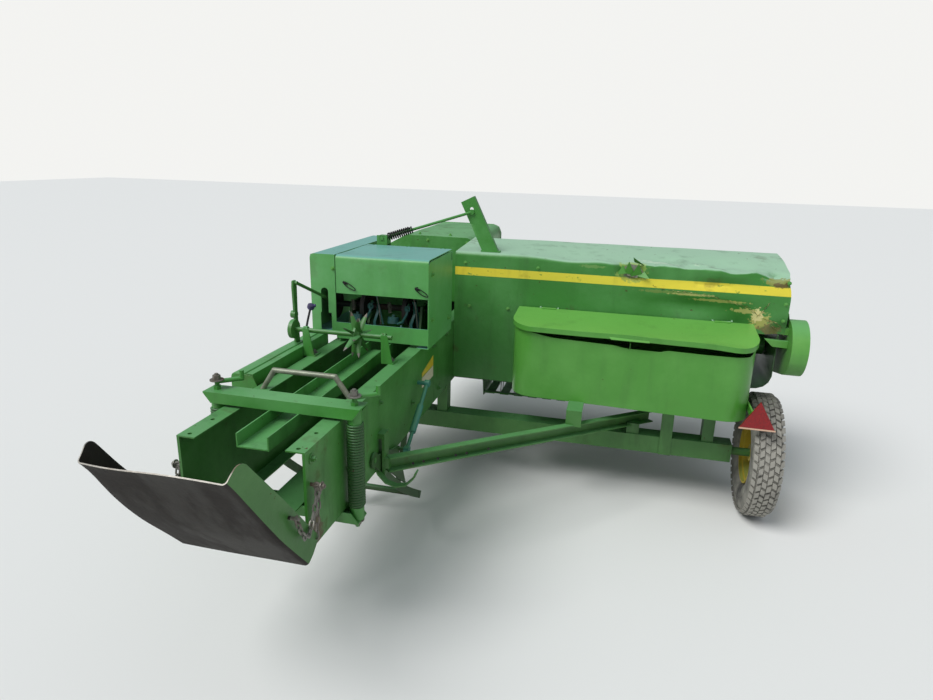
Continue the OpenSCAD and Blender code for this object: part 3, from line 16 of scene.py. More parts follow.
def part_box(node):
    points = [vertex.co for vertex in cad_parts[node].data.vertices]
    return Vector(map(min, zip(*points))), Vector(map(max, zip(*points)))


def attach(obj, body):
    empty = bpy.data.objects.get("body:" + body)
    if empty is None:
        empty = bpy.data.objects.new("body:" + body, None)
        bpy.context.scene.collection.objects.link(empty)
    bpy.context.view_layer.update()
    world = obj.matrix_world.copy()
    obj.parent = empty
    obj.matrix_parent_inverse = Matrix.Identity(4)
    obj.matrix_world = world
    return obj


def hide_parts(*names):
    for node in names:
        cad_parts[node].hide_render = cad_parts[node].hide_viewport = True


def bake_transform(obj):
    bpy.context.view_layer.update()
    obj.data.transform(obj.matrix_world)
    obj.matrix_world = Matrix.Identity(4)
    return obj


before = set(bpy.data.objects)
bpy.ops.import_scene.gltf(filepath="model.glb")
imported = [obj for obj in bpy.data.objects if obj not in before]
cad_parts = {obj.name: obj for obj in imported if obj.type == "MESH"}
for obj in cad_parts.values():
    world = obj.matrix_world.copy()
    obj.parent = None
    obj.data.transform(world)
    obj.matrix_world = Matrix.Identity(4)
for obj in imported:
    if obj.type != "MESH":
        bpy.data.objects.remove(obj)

LOG = logging.getLogger("square_baler")
MM = 0.001
NOISE_SEED = 1
STILL_REACH = 70.0
Pair = tuple[float, float]
Point = tuple[float, float, float]
Colour = tuple[float, float, float]
Socket = bpy.types.NodeSocket


class Axis(Enum):
    """The three directions of the drawing."""

    ACROSS = Vector((1.0, 0.0, 0.0))
    ALONG = Vector((0.0, 1.0, 0.0))
    UP = Vector((0.0, 0.0, 1.0))


@dataclass(frozen=True)
class Datum:
    """Where the drawing's origin, under the chamber's rear end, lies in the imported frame."""

    across: float
    along: float

    @classmethod
    def from_frame(cls) -> Datum:
        """Find the origin from the tension rail, whose near corner is at 44 mm left and 50 mm forward."""
        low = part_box("tension_rail")[0]
        return cls(low.x + 44 * MM, low.y - 50 * MM)

    def at(self, x: float, y: float, z: float) -> Vector:
        """Turn a place on the drawing, in millimetres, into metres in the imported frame.

        Args:
            x: Distance to the right of the chamber's middle.
            y: Distance forward of the chamber's rear end.
            z: Height above the ground.

        Returns:
            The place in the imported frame.
        """
        return Vector((x * MM + self.across, y * MM + self.along, z * MM))


DATUM = Datum.from_frame()


def placed(spots: Iterable[Point]) -> list[Vector]:
    """Turn places on the drawing, in millimetres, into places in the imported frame."""
    return [DATUM.at(*spot) for spot in spots]


# Finishes


def srgb(red: int, green: int, blue: int) -> Colour:
    """Turn a colour as it shows on a screen into the linear one that shaders take.

    Args:
        red: Red from 0 to 255.
        green: Green from 0 to 255.
        blue: Blue from 0 to 255.

    Returns:
        The linear colour.
    """
    parts = [c / 255 for c in (red, green, blue)]
    r, g, b = [c / 12.92 if c <= 0.04045 else ((c + 0.055) / 1.055) ** 2.4 for c in parts]
    return (r, g, b)


def darker(colour: Colour, share: float) -> Colour:
    """A colour dimmed to a share of itself."""
    return tuple(share * c for c in colour)


class NodeSheet:
    """Short calls that lay out the nodes of one material."""

    def __init__(self, name: str) -> None:
        """Start an empty material.

        Args:
            name: The finish's name.
        """
        self.material = bpy.data.materials.new(name)
        self.material.use_nodes = True
        self.tree = self.material.node_tree
        self.tree.nodes.clear()

    def add(
        self, kind: str, inputs: dict[str | int, object] | None = None, **settings: object
    ) -> bpy.types.Node:
        """Add one node.

        Args:
            kind: The node's type without its ShaderNode prefix.
            inputs: Values or sockets for its inputs, by name or number.
            **settings: The node's own properties.

        Returns:
            The new node.
        """
        node = self.tree.nodes.new("ShaderNode" + kind)
        for key, value in settings.items():
            setattr(node, key, value)
        for key, value in (inputs or {}).items():
            if isinstance(value, Socket):
                self.tree.links.new(value, node.inputs[key])
            else:
                node.inputs[key].default_value = value
        return node

    def spot(self) -> Socket:
        """The place on the object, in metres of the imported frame."""
        return self.add("TexCoord").outputs["Object"]

    def cloud(
        self, scale: float, detail: float = 4.0, stretch: Point = (1, 1, 1), shift: float = 0.0
    ) -> Socket:
        """A cloudy pattern from 0 to 1.

        Args:
            scale: Clouds per metre.
            detail: Octaves of finer cloud.
            stretch: How much denser the pattern is along each axis.
            shift: Where in the pattern it starts.

        Returns:
            The pattern's socket.
        """
        place = self.add(
            "Mapping", {"Vector": self.spot(), "Scale": stretch, "Location": (shift, shift * 0.7, -shift)}
        )
        made = self.add(
            "TexNoise", {"Vector": place.outputs[0], "Scale": scale, "Detail": detail, "Roughness": 0.62}
        )
        return made.outputs[0]

    def ramp(self, value: Socket, low: float, high: float, top: float = 1.0) -> Socket:
        """Stretch part of a pattern to run from 0 to a top value.

        Args:
            value: The pattern.
            low: Where it starts to rise.
            high: Where it reaches the top.
            top: The top value.

        Returns:
            The stretched pattern's socket.
        """
        limits = {0: value, 1: low, 2: high, 3: 0.0, 4: top}
        return self.add("MapRange", limits, interpolation_type="SMOOTHSTEP").outputs[0]

    def calc(self, operation: str, a: object, b: object = 0.0) -> Socket:
        """One sum on one or two values.

        Args:
            operation: The sum's name.
            a: First value or socket.
            b: Second value or socket.

        Returns:
            The result's socket, held between 0 and 1.
        """
        return self.add("Math", {0: a, 1: b}, operation=operation, use_clamp=True).outputs[0]

    def blend(self, share: object, below: object, above: object) -> Socket:
        """Lay one colour over another.

        Args:
            share: How much of the upper colour shows.
            below: The lower colour or socket.
            above: The upper colour or socket.

        Returns:
            The mixed colour's socket.
        """
        made = self.add("Mix", data_type="RGBA")
        for slot, value in ((0, share), (6, below), (7, above)):
            if isinstance(value, Socket):
                self.tree.links.new(value, made.inputs[slot])
            elif slot == 0:
                made.inputs[slot].default_value = value
            else:
                made.inputs[slot].default_value = (*value, 1.0)
        return made.outputs[2]

    def facing(self, axis: str) -> Socket:
        """How far the surface faces along an axis, from -1 to 1.

        Args:
            axis: X, Y or Z.

        Returns:
            The share's socket.
        """
        normal = self.add("NewGeometry").outputs["Normal"]
        return self.add("SeparateXYZ", {0: normal}).outputs[axis]

    def height(self, axis: str = "Z") -> Socket:
        """The place along one axis, in metres.

        Args:
            axis: X, Y or Z.

        Returns:
            The place's socket.
        """
        return self.add("SeparateXYZ", {0: self.spot()}).outputs[axis]

    def bump(self, value: Socket, strength: float, depth: float) -> Socket:
        """Turn a pattern into relief.

        Args:
            value: The pattern.
            strength: Share of the relief that shows.
            depth: The relief's depth in metres.

        Returns:
            The normal's socket.
        """
        made = self.add("Bump", {"Height": value, "Strength": strength, "Distance": depth})
        return made.outputs[0]

    def skin(
        self, colour: object, roughness: object, normal: Socket | None = None, metallic: object = 0.0
    ) -> bpy.types.Material:
        """Finish the material with its shader.

        Args:
            colour: Colour or socket.
            roughness: Value or socket.
            normal: The relief's socket, if any.
            metallic: Value or socket.

        Returns:
            The finished material.
        """
        inputs: dict[str | int, object] = {"Roughness": roughness, "Metallic": metallic}
        inputs["Base Color"] = colour if isinstance(colour, Socket) else (*colour, 1.0)
        if normal is not None:
            inputs["Normal"] = normal
        shader = self.add("BsdfPrincipled", inputs)
        self.add("OutputMaterial", {"Surface": shader.outputs[0]})
        return self.material


@dataclass(frozen=True)
class Mark:
    """A ragged patch of another colour, such as rust or a scrape, in millimetres of the drawing."""

    place: Point
    reach: Point
    tint: Colour
    share: float = 0.9
    ragged: float = 0.9
    scale: float = 26.0

    def cover(self, sheet: NodeSheet) -> Socket:
        """How much the mark covers at each place.

        Args:
            sheet: The material's nodes.

        Returns:
            The share's socket.
        """
        away = sheet.add("VectorMath", {0: sheet.spot(), 1: DATUM.at(*self.place)}, operation="SUBTRACT")
        size = tuple(1.0 / (r * MM) for r in self.reach)
        scaled = sheet.add("VectorMath", {0: away.outputs[0], 1: size}, operation="MULTIPLY")
        far = sheet.add("VectorMath", {0: scaled.outputs[0]}, operation="LENGTH").outputs["Value"]
        cloud = sheet.cloud(self.scale, 8, shift=6.0)
        torn = sheet.add("Math", {0: cloud, 1: 2.0 * self.ragged}, operation="MULTIPLY")
        edge = sheet.add("Math", {0: far, 1: torn.outputs[0]}, operation="ADD")
        return sheet.ramp(edge.outputs[0], 1.05 + self.ragged, 0.80 + self.ragged, self.share)


@dataclass(frozen=True)
class Paint:
    """Old machine enamel: faded in patches, paler and bluer on upward faces as painted sky reflection with some
    sun fading, grimy in streaks, darker towards the bottom, darker on downward faces as painted shade, and
    chipped to rust in scattered spots and patches.
    """

    name: str
    fresh: Colour
    faded: Colour
    # Colour laid over streaks, the lower part and downward faces; on downward faces it is painted shade.
    grime_and_shade: Colour = srgb(38, 44, 30)
    rust: Colour = srgb(88, 52, 32)
    fade: float = 0.55
    grime_and_shade_amount: float = 0.5
    chips: float = 0.5
    gloss: float = 0.42
    # Pale colour that upward faces lighten to, and how far: painted sky reflection with some sun fading.
    sky_reflection_and_fade: Colour = srgb(112, 176, 118)
    sky_reflection_and_fade_share: float = 0.45
    stripe: Pair | None = None
    stripe_colour: Colour = srgb(232, 214, 62)
    marks: tuple[Mark, ...] = ()

    def colour(self, sheet: NodeSheet) -> Socket:
        """Lay out the paint's colour, with painted sky reflection on upward faces and its stripe if it has one.

        Args:
            sheet: The material's nodes.

        Returns:
            The colour's socket.
        """
        clouds = sheet.ramp(sheet.cloud(2.6, 5, shift=3.1), 0.36, 0.72, self.fade)
        paint = sheet.blend(clouds, self.fresh, self.faded)
        # Upward faces lighten to a paler, bluer colour: painted sky reflection with some sun fading.
        paint = sheet.blend(sheet.ramp(sheet.facing("Z"), 0.45, 0.96, self.sky_reflection_and_fade_share), paint, self.sky_reflection_and_fade)
        if self.stripe is None:
            return paint
        z = sheet.height("Z")
        above = sheet.calc("GREATER_THAN", z, self.stripe[0])
        below = sheet.calc("LESS_THAN", z, self.stripe[1])
        rear = sheet.calc("LESS_THAN", sheet.facing("Y"), -0.35)
        band = sheet.calc("MULTIPLY", sheet.calc("MULTIPLY", above, below), rear)
        kept = sheet.calc("SUBTRACT", 1.0, sheet.ramp(sheet.cloud(16, 6, (1, 1, 3), 8.0), 0.62, 0.66, 0.85))
        return sheet.blend(sheet.calc("MULTIPLY", band, kept), paint, self.stripe_colour)

    def make(self) -> bpy.types.Material:
        """Build the material."""
        sheet = NodeSheet(self.name)
        colour = self.colour(sheet)
        streaks = sheet.ramp(sheet.cloud(9, 6, (1, 1, 0.16), 1.7), 0.5, 0.78, 0.7 * self.grime_and_shade_amount)
        # Darker towards the bottom.
        low = sheet.ramp(sheet.calc("SUBTRACT", 1.0, sheet.height("Z")), 0.1, 0.75, 0.35 * self.grime_and_shade_amount)
        # Downward faces darken: painted shade.
        under = sheet.ramp(sheet.facing("Z"), 0.1, -0.8, 0.5 * self.grime_and_shade_amount)
        grime_and_shade = sheet.calc("ADD", sheet.calc("ADD", streaks, low), under)
        colour = sheet.blend(grime_and_shade, colour, self.grime_and_shade)
        low_chip, high_chip = 0.71 - 0.07 * self.chips, 0.74 - 0.07 * self.chips
        chips = sheet.ramp(sheet.cloud(38, 8, shift=5.2), low_chip, high_chip, 0.9)
        patches = sheet.ramp(sheet.cloud(5, 7, shift=9.4), 0.60, 0.70, 0.75 * self.chips)
        worn = sheet.calc("MAXIMUM", chips, patches)
        rust = sheet.blend(sheet.cloud(60, 3), self.rust, darker(self.rust, 0.45))
        colour = sheet.blend(worn, colour, rust)
        for mark in self.marks:
            colour = sheet.blend(mark.cover(sheet), colour, mark.tint)
        rough = sheet.ramp(sheet.calc("ADD", worn, grime_and_shade), 0.0, 1.0, 0.9 - self.gloss)
        rough = sheet.calc("ADD", rough, self.gloss)
        relief = sheet.calc("SUBTRACT", sheet.cloud(24, 6), sheet.calc("MULTIPLY", worn, 0.4))
        return sheet.skin(colour, rough, sheet.bump(relief, 0.35, 0.004))


@dataclass(frozen=True)
class Metal:
    """Bare steel or iron, polished by work, dull with grease or brown with rust."""

    name: str
    bright: Colour
    rust: Colour
    rusted: float = 0.5
    sheen: float = 0.45
    shine: float = 0.6
    grain: Point = (1, 1, 1)

    def make(self) -> bpy.types.Material:
        """Build the material."""
        sheet = NodeSheet(self.name)
        cloud = sheet.cloud(7, 8, self.grain, 2.2)
        edge = 0.72 - 0.44 * self.rusted
        rusty = sheet.ramp(cloud, edge - 0.12, edge + 0.12)
        spots = sheet.ramp(sheet.cloud(55, 6, shift=4.0), 0.4, 0.75)
        rust = sheet.blend(spots, self.rust, darker(self.rust, 0.4))
        worn = sheet.ramp(sheet.cloud(30, 4), 0.3, 0.7, 0.6)
        bright = sheet.blend(worn, self.bright, darker(self.bright, 0.55))
        colour = sheet.blend(rusty, bright, rust)
        rough = sheet.calc("ADD", sheet.ramp(rusty, 0, 1, 0.9 - self.sheen), self.sheen)
        metallic = sheet.ramp(sheet.calc("SUBTRACT", 1.0, rusty), 0, 1, self.shine)
        return sheet.skin(colour, rough, sheet.bump(sheet.cloud(80, 6), 0.4, 0.002), metallic)


@dataclass(frozen=True)
class Rubber:
    """Weathered tyre rubber, grey with dusty patches, and paler on faces turned to the rear as painted light on
    the lit side.
    """

    name: str
    black: Colour = srgb(40, 39, 40)
    dust_and_highlight: Colour = srgb(150, 147, 138)

    def make(self) -> bpy.types.Material:
        """Build the material."""
        sheet = NodeSheet(self.name)
        dusty = sheet.ramp(sheet.cloud(9, 7), 0.25, 0.7, 0.8)
        # Faces turned to the rear lighten: painted light on the lit side.
        rear = sheet.ramp(sheet.facing("Y"), 0.2, -0.9, 0.5)
        colour = sheet.blend(sheet.calc("ADD", dusty, rear), self.black, self.dust_and_highlight)
        return sheet.skin(colour, 0.86, sheet.bump(sheet.cloud(120, 4), 0.4, 0.001), 0.0)


@dataclass(frozen=True)
class Plastic:
    """Moulded reflector plastic with fine prisms under its face."""

    name: str
    tint: Colour = srgb(158, 10, 18)

    def make(self) -> bpy.types.Material:
        """Build the material."""
        sheet = NodeSheet(self.name)
        cells = sheet.add("TexVoronoi", {"Vector": sheet.spot(), "Scale": 260.0})
        prisms = sheet.ramp(cells.outputs[0], 0.2, 0.7)
        colour = sheet.blend(prisms, self.tint, darker(self.tint, 0.45))
        return sheet.skin(colour, 0.28, sheet.bump(cells.outputs[0], 0.5, 0.001))


BROWN = srgb(84, 50, 30)
SCRAPES_AND_TOP_HIGHLIGHTS = (
    Mark((1244, 1880, 1282), (84, 50, 66), srgb(150, 176, 84), 0.7, 1.2),
    Mark((1232, 1880, 1268), (40, 40, 34), srgb(120, 122, 112), 0.8),
    Mark((1470, 1880, 1172), (190, 60, 9), srgb(120, 140, 66), 0.75, 1.3, 44.0),
    Mark((1560, 1880, 1166), (120, 60, 6), srgb(196, 188, 116), 0.8, 1.3, 60.0),
    Mark((1700, 1880, 1142), (150, 60, 8), srgb(176, 172, 96), 0.8, 1.3, 60.0),
    Mark((1850, 1880, 1096), (90, 60, 16), srgb(190, 184, 110), 0.85, 1.3, 60.0),
    Mark((1918, 1880, 1046), (54, 60, 42), srgb(178, 176, 96), 0.85, 1.3, 54.0),
    Mark((1975, 1880, 1006), (60, 60, 34), srgb(116, 104, 60), 0.85, 1.3, 54.0),
    Mark((1900, 1880, 1076), (26, 60, 40), srgb(226, 214, 150), 0.9, 1.2, 60.0),
    Mark((1975, 1885, 1262), (70, 60, 26), srgb(140, 140, 66), 0.8, 1.3, 54.0),
    Mark((2000, 1885, 1246), (40, 60, 14), srgb(90, 66, 36), 0.8, 1.2, 60.0),
    Mark((1020, 1895, 1285), (70, 60, 10), srgb(120, 158, 84), 0.6, 1.3, 50.0),
    # These two pale patches along the top are painted highlights on the crumpled top edge.
    Mark((1400, 1960, 1330), (190, 50, 20), srgb(206, 222, 196), 0.5, 1.3, 40.0),
    Mark((1760, 1950, 1330), (220, 50, 14), srgb(196, 214, 180), 0.45, 1.3, 40.0),
)


class Finish(Enum):
    """The finishes of the machine, each made once."""

    # Where a paint has a pale upward colour, that colour is painted sky reflection with some sun fading.
    GREEN = Paint("green_paint", srgb(60, 132, 48), srgb(104, 172, 100))
    HOUSING = Paint(
        "housing_paint", srgb(56, 126, 46), srgb(100, 164, 96), fade=0.4, stripe=(1.1906, 1.2378),
        marks=SCRAPES_AND_TOP_HIGHLIGHTS, sky_reflection_and_fade=srgb(168, 206, 176), sky_reflection_and_fade_share=0.85,
    )
    COVER = Paint(
        "cover_paint", srgb(84, 156, 80), srgb(120, 184, 124), grime_and_shade_amount=0.35, chips=0.2,
        sky_reflection_and_fade=srgb(112, 172, 164), sky_reflection_and_fade_share=0.9,
    )
    BOX = Paint(
        "twine_box_paint", srgb(72, 142, 48), srgb(100, 166, 76), grime_and_shade_amount=0.25, chips=0.05, fade=0.5, gloss=0.34,
        sky_reflection_and_fade=srgb(116, 184, 84), sky_reflection_and_fade_share=0.7,
    )
    WALL = Paint(
        "chamber_paint", srgb(54, 118, 42), srgb(98, 158, 88), grime_and_shade_amount=0.6, chips=0.5,
        marks=(
            Mark((250, 40, 590), (40, 70, 80), BROWN, 0.8),
            Mark((-250, 40, 580), (40, 60, 60), BROWN, 0.8),
        ),
    )
    DARK = Paint("shaded_paint", srgb(44, 84, 36), srgb(72, 112, 58), grime_and_shade_amount=0.7, chips=0.5, fade=0.3)
    FRAME = Paint("frame_paint", srgb(56, 112, 44), srgb(100, 156, 84), grime_and_shade_amount=0.5, chips=0.4, fade=0.4)
    SHIELD = Paint("shield_paint", srgb(84, 152, 62), srgb(122, 178, 92), grime_and_shade_amount=0.3, chips=0.25)
    YELLOW = Paint("yellow_paint", srgb(206, 180, 44), srgb(220, 204, 110), chips=0.5)
    STEEL = Metal("worn_steel", srgb(150, 150, 140), srgb(92, 62, 42), 0.35)
    CHAIN = Metal("chain_steel", srgb(132, 130, 122), srgb(92, 72, 50), 0.35, 0.4, 0.5)
    GREY = Metal("worn_grey_steel", srgb(150, 156, 136), srgb(96, 84, 62), 0.3, shine=0.35)
    RUSTY = Metal("rusty_iron", srgb(96, 84, 70), srgb(84, 52, 34), 0.75, shine=0.3)
    # The chute's colours are darkened to stand for its shaded underside: painted shade over brown rusty steel.
    CHUTE = Metal("chute_steel_painted_shade", srgb(38, 33, 25), srgb(31, 24, 17), 0.55, 0.7, 0.05, (1, 0.3, 0.3))
    # Pale steel on the chute's upward-facing top edge: a painted highlight.
    BRIGHT = Metal("painted_edge_highlight", srgb(150, 146, 138), srgb(120, 100, 78), 0.25, 0.4, 0.6)
    IRON = Metal("cast_iron", srgb(62, 62, 62), srgb(70, 50, 38), 0.45, 0.5, 0.4)
    BLACK = Metal("oiled_black", srgb(30, 30, 30), srgb(44, 36, 30), 0.35, 0.4, 0.3)
    VIOLET = Metal("blued_casting", srgb(84, 78, 128), srgb(60, 50, 60), 0.3, 0.4, 0.3)
    SLEEVE = Paint("sleeve_paint", srgb(40, 120, 96), srgb(96, 160, 150), grime_and_shade_amount=0.4, chips=0.4)
    SCRAPED = Metal("scraped_sheet", srgb(214, 208, 150), srgb(140, 130, 66), 0.4, 0.5, 0.1)
    TEAL = Paint("casting_paint", srgb(40, 92, 88), srgb(92, 146, 150), grime_and_shade_amount=0.5, chips=0.4)
    LABEL = Paint("plate_paint", srgb(206, 198, 170), srgb(190, 182, 150), grime_and_shade_amount=0.6, chips=0.9)
    RUBBER = Rubber("tyre_rubber")
    REFLECTOR = Plastic("reflector_plastic")
    RIM_WHITE = Paint("reflector_rim", srgb(214, 176, 150), srgb(206, 160, 140), grime_and_shade_amount=0.3, chips=0.2)

    def material(self) -> bpy.types.Material:
        """The finish's material, built when first asked for."""
        found = bpy.data.materials.get(self.value.name)
        return found or self.value.make()


# Shaping


@dataclass(frozen=True)
class Dent:
    """A smooth push into sheet metal, in millimetres of the drawing."""

    place: Point
    reach: Point
    push: Point

    def moved(self, spot: Vector) -> Vector:
        """How far the dent moves a place.

        Args:
            spot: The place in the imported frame.

        Returns:
            The movement in metres.
        """
        away = spot - DATUM.at(*self.place)
        far = sum((away[i] / (self.reach[i] * MM)) ** 2 for i in range(3))
        return Vector(self.push) * MM * math.exp(-far) if far < 9 else Vector()


class Shape:
    """A mesh in the making, with the workshop's usual cuts and bends as methods."""

    def __init__(self, source: str | None = None) -> None:
        """Start from nothing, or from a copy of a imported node.

        Args:
            source: The node to copy, if any.
        """
        self.bm = bmesh.new()
        self.paints: list[Finish] = []
        if source is not None:
            self.bm.from_mesh(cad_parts[source].data)
            bmesh.ops.remove_doubles(self.bm, verts=self.bm.verts, dist=0.02 * MM)
            bmesh.ops.dissolve_limit(
                self.bm, angle_limit=math.radians(0.6), verts=self.bm.verts, edges=self.bm.edges
            )

    def cut_grid(self, step: float) -> Shape:
        """Cut every face along planes a step apart in all three directions.

        Args:
            step: Distance between planes, in millimetres.

        Returns:
            The shape.
        """
        spots = [v.co for v in self.bm.verts]
        for i, axis in enumerate(Axis):
            low, high = min(s[i] for s in spots), max(s[i] for s in spots)
            count = int((high - low) / (step * MM))
            for k in range(1, count + 1):
                place = axis.value * (low + (high - low) * k / (count + 1))
                everything = self.bm.verts[:] + self.bm.edges[:] + self.bm.faces[:]
                bmesh.ops.bisect_plane(
                    self.bm, geom=everything, dist=0.001 * MM, plane_co=place, plane_no=axis.value
                )
            spots = [v.co for v in self.bm.verts]
        return self

    def dent(
        self, dents: Iterable[Dent], ripple: float = 0.0, wave: float = 4.0, still: Sequence[Point] = ()
    ) -> Shape:
        """Push dents in and ripple the sheet, but not round the pins that other pieces turn on.

        Args:
            dents: The dents.
            ripple: Height of the ripple, in millimetres.
            wave: Ripples per metre.
            still: The pins.

        Returns:
            The shape.
        """
        pins = [DATUM.at(*place) for place in still]
        listed = [(dent, DATUM.at(*dent.place), 3 * MM * max(dent.reach)) for dent in dents]
        for vert in self.bm.verts:
            shift = Vector()
            for dent, middle, far in listed:
                if (vert.co - middle).length < far:
                    shift += dent.moved(vert.co)
            if ripple:
                near = min(((vert.co - pin).length / (STILL_REACH * MM) for pin in pins), default=2.0)
                share = max(0.0, min(1.0, near - 1.0))
                shift += noise.noise_vector(vert.co * wave) * ripple * MM * share
            vert.co += shift
        return self

    def block(self, low: Point, high: Point) -> Shape:
        """Add a box between two corners.

        Args:
            low: The lowest corner.
            high: The highest corner.

        Returns:
            The shape.
        """
        a, b = DATUM.at(*low), DATUM.at(*high)
        size = Matrix.Diagonal((*(b - a), 1.0))
        bmesh.ops.create_cube(self.bm, size=1.0, matrix=Matrix.Translation((a + b) / 2) @ size)
        return self

    def rod(
        self, start: Vector, end: Vector, radius: float, sides: int = 12, tip: float | None = None
    ) -> Shape:
        """Add a round bar between two places.

        Args:
            start: One end.
            end: The other end.
            radius: Radius in millimetres.
            sides: Faces round the bar.
            tip: Radius of the far end, if it tapers.

        Returns:
            The shape.
        """
        line = end - start
        turn = line.to_track_quat("Z", "Y").to_matrix().to_4x4()
        bmesh.ops.create_cone(
            self.bm,
            cap_ends=True,
            segments=sides,
            radius1=radius * MM,
            radius2=(radius if tip is None else tip) * MM,
            depth=line.length,
            matrix=Matrix.Translation((start + end) / 2) @ turn,
        )
        return self

    def bar(
        self, start: Point, end: Point, radius: float, sides: int = 12, tip: float | None = None
    ) -> Shape:
        """Add a round bar between two places on the drawing."""
        return self.rod(DATUM.at(*start), DATUM.at(*end), radius, sides, tip)

    def bent(self, spots: Iterable[Point], radius: float, sides: int = 10) -> Shape:
        """Add a bent round bar through several places on the drawing."""
        return self.wire(placed(spots), radius, sides)

    def wire(self, spots: Sequence[Vector], radius: float, sides: int = 10) -> Shape:
        """Add a bent round bar through several places.

        Args:
            spots: The places in order.
            radius: Radius in millimetres.
            sides: Faces round the bar.

        Returns:
            The shape.
        """
        for a, b in zip(spots, spots[1:]):
            self.rod(a, b, radius, sides)
        for spot in spots[1:-1]:
            bend = Matrix.Translation(spot)
            bmesh.ops.create_icosphere(self.bm, subdivisions=2, radius=radius * MM, matrix=bend)
        return self

    def flat(self, spots: Sequence[Vector], thick: Vector) -> Shape:
        """Add a plate from its outline and its thickness.

        Args:
            spots: The outline.
            thick: The thickness as a movement.

        Returns:
            The shape.
        """
        face = self.bm.faces.new([self.bm.verts.new(s) for s in spots])
        grown = bmesh.ops.extrude_face_region(self.bm, geom=[face])["geom"]
        moved = [g for g in grown if isinstance(g, bmesh.types.BMVert)]
        bmesh.ops.translate(self.bm, vec=thick, verts=moved)
        sides = dict.fromkeys(f for v in moved for f in v.link_faces)
        bmesh.ops.recalc_face_normals(self.bm, faces=list(sides | {face: None}))
        return self

    def tank(
        self, plan: Sequence[Pair], foot: Callable[[float, float], float],
        rim: Callable[[float, float], float], rows: int, thick: float,
    ) -> Shape:
        """Draw a closed outline up into walls over a bottom, and give the sheet its thickness.

        Args:
            plan: The outline seen from above, in millimetres.
            foot: Height of the bottom at a place of the plan.
            rim: Height of the rim at a place of the plan.
            rows: Rows of faces in the walls.
            thick: The sheet's thickness in millimetres.

        Returns:
            The shape.
        """
        known = set(self.bm.faces)
        row = [self.bm.verts.new(DATUM.at(x, y, foot(x, y))) for x, y in plan]
        self.bm.faces.new(row)
        edges = [self.bm.edges.get(pair) for pair in zip(row, row[1:] + row[:1])]
        places = {v: place for v, place in zip(row, plan)}
        for k in range(1, rows + 1):
            grown = bmesh.ops.extrude_edge_only(self.bm, edges=edges)["geom"]
            above = [g for g in grown if isinstance(g, bmesh.types.BMVert)]
            for vert in above:
                below = min(places, key=lambda v: (v.co - vert.co).length)
                x, y = places[below]
                vert.co.z = (foot(x, y) + (rim(x, y) - foot(x, y)) * k / rows) * MM
            lines = [g for g in grown if isinstance(g, bmesh.types.BMEdge)]
            edges = [line for line in lines if all(v in above for v in line.verts)]
            start = DATUM.at(0, 0, 0)
            places = {v: tuple((v.co - start)[:2]) for v in above}
            places = {v: (x / MM, y / MM) for v, (x, y) in places.items()}
        sheet = [f for f in self.bm.faces if f not in known]
        bmesh.ops.recalc_face_normals(self.bm, faces=sheet)
        bmesh.ops.solidify(self.bm, geom=sheet, thickness=thick * MM)
        bmesh.ops.recalc_face_normals(self.bm, faces=[f for f in self.bm.faces if f not in known])
        return self

    def hexagon(self, place: Vector, way: Vector, across: float, deep: float, washer: bool = True) -> Shape:
        """Add a hexagon head, with the washer under it.

        Args:
            place: Where the head sits.
            way: The direction it points.
            across: Width across its flats, in millimetres.
            deep: Its height, in millimetres.
            washer: Whether a washer lies under it.

        Returns:
            The shape.
        """
        up = way.normalized()
        seat = place
        if washer:
            seat = place + up * 0.16 * across * MM
            self.rod(place - up * 0.5 * MM, seat, 0.95 * across, 16)
        self.rod(seat, seat + up * deep * MM, 0.577 * across, 6, 0.53 * across)
        return self.rod(seat, seat + up * deep * 1.35 * MM, 0.27 * across, 8)

    def coil(
        self, foot: Vector, way: Vector, radius: float, wire: float, turns: float, length: float
    ) -> Shape:
        """Add a coil spring.

        Args:
            foot: The middle of its first turn.
            way: The direction it runs.
            radius: Radius to the wire's middle, in millimetres.
            wire: The wire's radius, in millimetres.
            turns: Number of turns.
            length: Its length, in millimetres.

        Returns:
            The shape.
        """
        up = way.normalized()
        side = up.orthogonal().normalized()
        base = foot + side * radius * MM
        turn = side.cross(up).to_track_quat("Z", "Y").to_matrix().to_4x4()
        made = bmesh.ops.create_circle(
            self.bm, segments=8, radius=wire * MM, matrix=Matrix.Translation(base) @ turn
        )
        ring = made["verts"]
        edges = list(dict.fromkeys(e for v in ring for e in v.link_edges))
        steps = max(12, int(turns * 20))
        bmesh.ops.spin(
            self.bm,
            geom=ring + edges,
            cent=foot,
            axis=up,
            dvec=up * length * MM / steps,
            angle=math.tau * turns,
            steps=steps,
        )
        return self

    def lathe(
        self, profile: Sequence[Pair], centre: Vector, axis: Vector, steps: int = 48
    ) -> Shape:
        """Turn an outline round an axis.

        Args:
            profile: Places along the axis and away from it, in millimetres.
            centre: Where the axis starts.
            axis: The axis.
            steps: Faces round the axis.

        Returns:
            The shape.
        """
        up = axis.normalized()
        side = up.orthogonal().normalized()
        spots = [centre + (up * along + side * away) * MM for along, away in profile]
        line = [self.bm.verts.new(s) for s in spots]
        edges = [self.bm.edges.new(pair) for pair in zip(line, line[1:])]
        known = set(self.bm.faces)
        bmesh.ops.spin(
            self.bm, geom=line + edges, cent=centre, axis=up, dvec=(0, 0, 0), angle=math.tau,
            steps=steps, use_merge=True,
        )
        faces = [f for f in self.bm.faces if f not in known]
        verts = list(dict.fromkeys(v for f in faces for v in f.verts))
        bmesh.ops.remove_doubles(self.bm, verts=verts, dist=0.01 * MM)
        faces = [f for f in self.bm.faces if f not in known]
        bmesh.ops.recalc_face_normals(self.bm, faces=faces)
        return self

